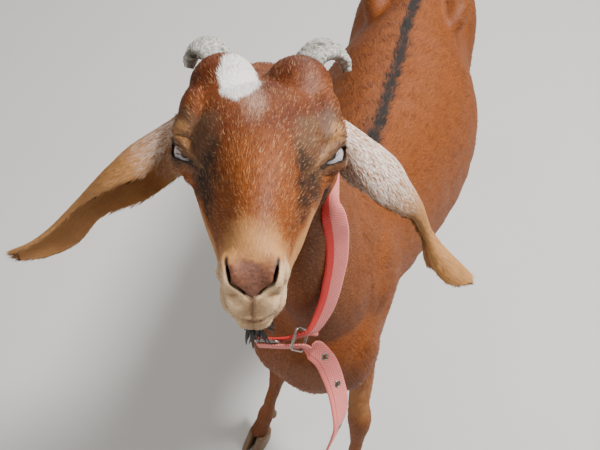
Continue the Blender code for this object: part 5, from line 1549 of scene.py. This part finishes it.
def grow(name, count, inside, seed, lift=0.06):
    """Tufts over the part of the skin where inside is true, as one piece of closed spindles."""
    pick = np.random.default_rng(seed)
    weight = np.cumsum(tri_weight * inside)
    chosen = np.searchsorted(weight, pick.uniform(0, weight[-1], count))
    a, b = pick.uniform(0, 1, (2, count))
    over = a + b > 1
    a[over], b[over] = 1 - a[over], 1 - b[over]
    shares = np.stack([1 - a - b, a, b], 1)[:, :, None]
    root = (skin_points[tri_verts[chosen]] * shares).sum(1)
    normal = unit((skin_normals[tri_verts[chosen]] * shares).sum(1))
    place = (tri_uv[chosen] * shares).sum(1)
    lie, length, half, _ = coat_plan(root)
    lie = unit(lie - normal * (lie * normal).sum(1)[:, None])
    across = np.cross(normal, lie)
    swing = pick.normal(0, HAIR_SWING, count)[:, None]
    lie = unit(lie + across * swing)
    across = np.cross(normal, lie)
    length = length * pick.uniform(0.7, 1.25, count)
    half = half * pick.uniform(0.75, 1.3, count)
    rise = lift * pick.uniform(0.5, 1.5, count)
    curl = pick.normal(0, 0.05, count)[:, None] * length[:, None]
    span = length[:, None]
    wide = half[:, None]
    middle = root + lie * span * 0.42 + normal * (span * 0.42 * rise[:, None]) + across * curl * 0.3
    tip = root + lie * span + normal * (span * 0.62 * rise[:, None]) + across * curl
    start = root - normal * ROOT_SUNK
    left = middle + across * wide
    right = middle - across * wide
    top = middle + normal * wide * 0.7
    verts = np.stack([start, left, right, top, tip], 1).reshape(-1, 3)
    pattern = np.array([[0, 3, 1], [0, 2, 3], [0, 1, 2], [4, 1, 3], [4, 3, 2], [4, 2, 1]])
    faces = (np.arange(count)[:, None, None] * 5 + pattern).reshape(-1, 3)
    mesh = bpy.data.meshes.new(name)
    mesh.vertices.add(len(verts))
    mesh.vertices.foreach_set("co", verts.astype(np.float32).ravel())
    mesh.loops.add(faces.size)
    mesh.loops.foreach_set("vertex_index", faces.astype(np.int32).ravel())
    mesh.polygons.add(len(faces))
    mesh.polygons.foreach_set("loop_start", np.arange(0, faces.size, 3, dtype=np.int32))
    mesh.update(calc_edges=True)
    made = bpy.data.objects.new(name, mesh)
    bpy.context.scene.collection.objects.link(made)
    first, second = markings(root)
    store(made, "marks_a", np.repeat(first, 5, 0))
    store(made, "marks_b", np.repeat(second, 5, 0))
    luck = np.repeat(pick.uniform(0, 1, (count, 2)), 5, 0)
    up_hair = np.tile([0.0, 0.5, 0.5, 0.5, 1.0], count)
    # pale tips weigh more on the face, where they also stand as painted glints
    pale = np.repeat(np.where(head_coords(root)[0] > -9, 0.34, 0.06), 5)
    store(made, "tuft", np.stack([luck[:, 0], up_hair, luck[:, 1], pale], 1))
    patch = PATCH_HALF * np.array([[-1, 0], [0, -1], [0, 1], [1 / 3, 0], [1, 0]])
    spots = (place[:, None, :] + patch[None]).reshape(-1, 2)[faces.ravel()]
    layer = mesh.uv_layers.new(name="OFBake")
    layer.data.foreach_set("uv", np.clip(spots, 0, 1).astype(np.float32).ravel())
    mesh.materials.append(hair)
    mesh.polygons.foreach_set("use_smooth", np.ones(len(faces), bool))
    spoke = unit(verts - np.repeat(root + lie * span * 0.42, 5, 0))
    soft = unit(np.repeat(normal, 5, 0) + 0.35 * spoke)
    mesh.normals_split_custom_set_from_vertices(soft.astype(np.float32))
    return made


tri_s, tri_t = head_coords(tri_middle)[:2]
tri_ear = ear_share(tri_middle) >= 0
tri_head = (tri_s > -10) & ~tri_ear
tri_neck = (tri_middle[:, 2] > 0.70) & (tri_middle[:, 1] < 0.05) & ~tri_head & ~tri_ear
tri_low = (tri_middle[:, 2] < 0.36) & ~tri_head
tri_trunk = ~(tri_ear | tri_head | tri_neck | tri_low)
tri_left = tri_middle[:, 0] > 0
tri_brow = tri_head & (tri_s < 2.5)
tri_nose = tri_head & (tri_s >= 2.5)
BUDGETS = [
    ("coat_brow_left", 30000, tri_brow & (tri_t > 0), 41),
    ("coat_brow_right", 30000, tri_brow & (tri_t <= 0), 42),
    ("coat_nose", 32000, tri_nose, 40),
    ("coat_ears", 24000, tri_ear, 43),
    ("coat_neck", 24000, tri_neck, 44),
    ("coat_flank_left", 30000, tri_trunk & tri_left, 45),
    ("coat_flank_right", 30000, tri_trunk & ~tri_left, 46),
    ("coat_legs", 24000, tri_low, 47),
]
coats = [grow(*budget) for budget in BUDGETS]
for coat in coats:
    settle(coat, "coat_bay")

# %% [markdown]
# ## Beard and tail hair
# A doe has a small dark beard and long hair on the upper side and the tip of her tail.
# Such hair clumps into locks that taper and bend, so each lock is a flat closed tube of
# its own.  Their roots are spread at random inside a small mass and on the tail's sides.

# %% Locks of long hair
LOCK_STEPS = 7


def hang_locks(name, roots, ways, droop, bends, lengths, halves, seed):
    """Many tapered locks as one piece: a root point, rings of four and a tip point each."""
    pick = np.random.default_rng(seed)
    count = len(roots)
    spot = roots.copy()
    heading = unit(ways)
    rows = [spot.copy()]
    turns = []
    for k in range(LOCK_STEPS + 1):
        across = unit(np.cross(heading, np.array([0.15, 1.0, 0.1])))
        turns.append((across, np.cross(heading, across)))
        heading = unit(heading + droop * 0.30 + bends * 0.2)
        spot = spot + heading * (lengths / (LOCK_STEPS + 1))[:, None]
        rows.append(spot.copy())
    verts = [rows[0]]
    for k in range(LOCK_STEPS):
        share = (k + 1) / (LOCK_STEPS + 1)
        swell = math.sin(math.pi * (0.18 + 0.80 * share)) ** 0.8
        across, over = turns[k + 1]
        wide = (halves * swell)[:, None]
        verts += [rows[k + 1] + across * wide, rows[k + 1] + over * wide * 0.4,
                  rows[k + 1] - across * wide, rows[k + 1] - over * wide * 0.4]
    verts.append(rows[-1])
    each = len(verts)
    points = np.stack(verts, 1).reshape(-1, 3)
    pattern = [(0, 1 + (j + 1) % 4, 1 + j) for j in range(4)]
    for k in range(LOCK_STEPS - 1):
        low = 1 + 4 * k
        for j in range(4):
            nxt = (j + 1) % 4
            pattern += [(low + j, low + nxt, low + 4 + nxt), (low + j, low + 4 + nxt, low + 4 + j)]
    low = 1 + 4 * (LOCK_STEPS - 1)
    pattern += [(low + j, low + (j + 1) % 4, each - 1) for j in range(4)]
    faces = (np.arange(count)[:, None, None] * each + np.array(pattern)).reshape(-1, 3)
    made = add_object(name, points, faces.tolist())
    near = skin_index(roots)
    first, second = markings(roots)
    first[:, 1] = 1.0
    store(made, "marks_a", np.repeat(first, each, 0))
    store(made, "marks_b", np.repeat(second * 0, each, 0))
    luck = np.repeat(pick.uniform(0, 1, (count, 2)), each, 0)
    up_hair = np.tile(np.linspace(0, 1, each), count)
    store(made, "tuft", np.stack([luck[:, 0], up_hair, luck[:, 1], np.zeros(len(points))], 1))
    layer = made.data.uv_layers.new(name="OFBake")
    reach = np.linspace(-PATCH_HALF, PATCH_HALF, each)
    patch = np.stack([reach, 0.0008 * np.sin(40 * reach / PATCH_HALF)], 1)
    spots = (tri_uv[near].mean(1)[:, None, :] + patch[None]).reshape(-1, 2)
    corner_verts = np.empty(len(made.data.loops), np.int32)
    made.data.loops.foreach_get("vertex_index", corner_verts)
    layer.data.foreach_set("uv", np.clip(spots[corner_verts], 0, 1).astype(np.float32).ravel())
    made.data.materials.append(hair)
    return made


def skin_index(points):
    """The skin's triangle nearest to each point."""
    out = np.empty(len(points), int)
    for k, point in enumerate(points):
        out[k] = ((tri_middle - point) ** 2).sum(1).argmin()
    return out


# %% Beard
BEARD_LOCKS = 80
pick = np.random.default_rng(51)
places = np.stack([pick.uniform(8.95, 10.85, BEARD_LOCKS), pick.uniform(-0.6, 0.6, BEARD_LOCKS),
                   pick.uniform(-6.55, -6.25, BEARD_LOCKS)], 1)
roots = np.array([on_head(*place) for place in places])
ways = np.stack([pick.uniform(-0.25, 0.25, BEARD_LOCKS), pick.uniform(-0.30, 0.15, BEARD_LOCKS),
                 -np.ones(BEARD_LOCKS)], 1)
bends = np.stack([pick.uniform(-0.5, 0.5, BEARD_LOCKS), pick.uniform(-0.3, 0.5, BEARD_LOCKS),
                  np.zeros(BEARD_LOCKS)], 1)
beard = hang_locks("beard_locks", roots, ways, np.array([0, 0.1, -1.0]), bends,
                   pick.uniform(0.024, 0.040, BEARD_LOCKS), pick.uniform(0.0009, 0.0017, BEARD_LOCKS), 52)
settle(beard, "hair_dark", "beard")

# %% Long hair of the tail
TAIL_LOCKS = 320
pick = np.random.default_rng(53)
tail_rows = np.array(resample(TAIL, 60))
share = pick.uniform(0.40, 0.985, TAIL_LOCKS)
row = tail_rows[(share * 59).astype(int)]
angle = pick.uniform(0, 2 * math.pi, TAIL_LOCKS)
rim = np.stack([np.cos(angle) * row[:, 3], np.zeros(TAIL_LOCKS), np.sin(angle) * row[:, 4]], 1)
roots = row[:, :3] + 0.75 * rim
ways = np.stack([0.45 * np.cos(angle), np.ones(TAIL_LOCKS), 0.18 * np.sin(angle)], 1)
bends = np.stack([0.15 * np.cos(angle), np.full(TAIL_LOCKS, 0.2), pick.uniform(-0.2, 0.1, TAIL_LOCKS)], 1)
switch = hang_locks("tail_switch", roots, ways, np.array([0, 0.15, -0.6]), bends,
                    pick.uniform(0.030, 0.058, TAIL_LOCKS), pick.uniform(0.0008, 0.0016, TAIL_LOCKS), 54)
settle(switch, "hair_dark")

# %% [markdown]
# ## Camera, floor and light
# The camera stands above and before the goat and looks down steeply, with a wide view.
# A soft lamp from the upper right models the forms, two wide weak ones fill the far sides,
# and a pale world keeps the shadows open.  A sun lamp would give harder shadows than a
# studio has.

# %% Camera, floor and lamps
CAMERA_PLACE = Vector((0.0572, -0.3737, 1.32))
CAMERA_YAW = math.radians(16)
CAMERA_PITCH = math.radians(55)
heading = Vector((-math.sin(CAMERA_YAW), math.cos(CAMERA_YAW), 0))
looking = heading * math.cos(CAMERA_PITCH) - UPWARD * math.sin(CAMERA_PITCH)
camera_data = bpy.data.cameras.new("camera")
camera_data.lens = 36.0
camera_data.sensor_width = 36.0
camera = bpy.data.objects.new("camera", camera_data)
bpy.context.scene.collection.objects.link(camera)
camera.location = CAMERA_PLACE + SHIFT
camera.rotation_euler = looking.to_track_quat("-Z", "Y").to_euler()
bpy.context.scene.camera = camera

plain, tree, shader = new_material("pale_studio_floor", 0.85)
grey = mixed(tree, noise(tree, 3.0), linear("#C9C7C2"), linear("#CFCDC8"))
tree.links.new(grey, shader.inputs["Base Color"])
floor = add_object("floor", [(-6, -6, 0), (6, -6, 0), (6, 6, 0), (-6, 6, 0)], [(0, 1, 2, 3)])
floor.data.materials.append(plain)

LAMPS = [
    ("key", (1.5, 0.3, 3.0), 172.0, 0.7),
    ("fill", (-2.0, -2.2, 1.8), 34.0, 2.4),
    ("back", (-0.6, 3.0, 2.2), 48.0, 2.0),
]
for name, place, watts, size in LAMPS:
    lamp_data = bpy.data.lights.new(name, "AREA")
    lamp_data.energy = watts
    lamp_data.size = size
    lamp = bpy.data.objects.new(name, lamp_data)
    bpy.context.scene.collection.objects.link(lamp)
    lamp.location = place
    lamp.rotation_euler = (Vector((0, 0, 0.6)) - Vector(place)).to_track_quat("-Z", "Y").to_euler()
world = bpy.data.worlds.new("studio")
world.use_nodes = True
world.node_tree.nodes["Background"].inputs["Color"].default_value = linear("#F1EFEC")
world.node_tree.nodes["Background"].inputs["Strength"].default_value = 0.36
bpy.context.scene.world = world

# %% Hand the skin over and finish
settle(skin, "coat_bay", "torso", "neck", "head", "tail", "ear_left", "ear_right", *LEG_ROWS)
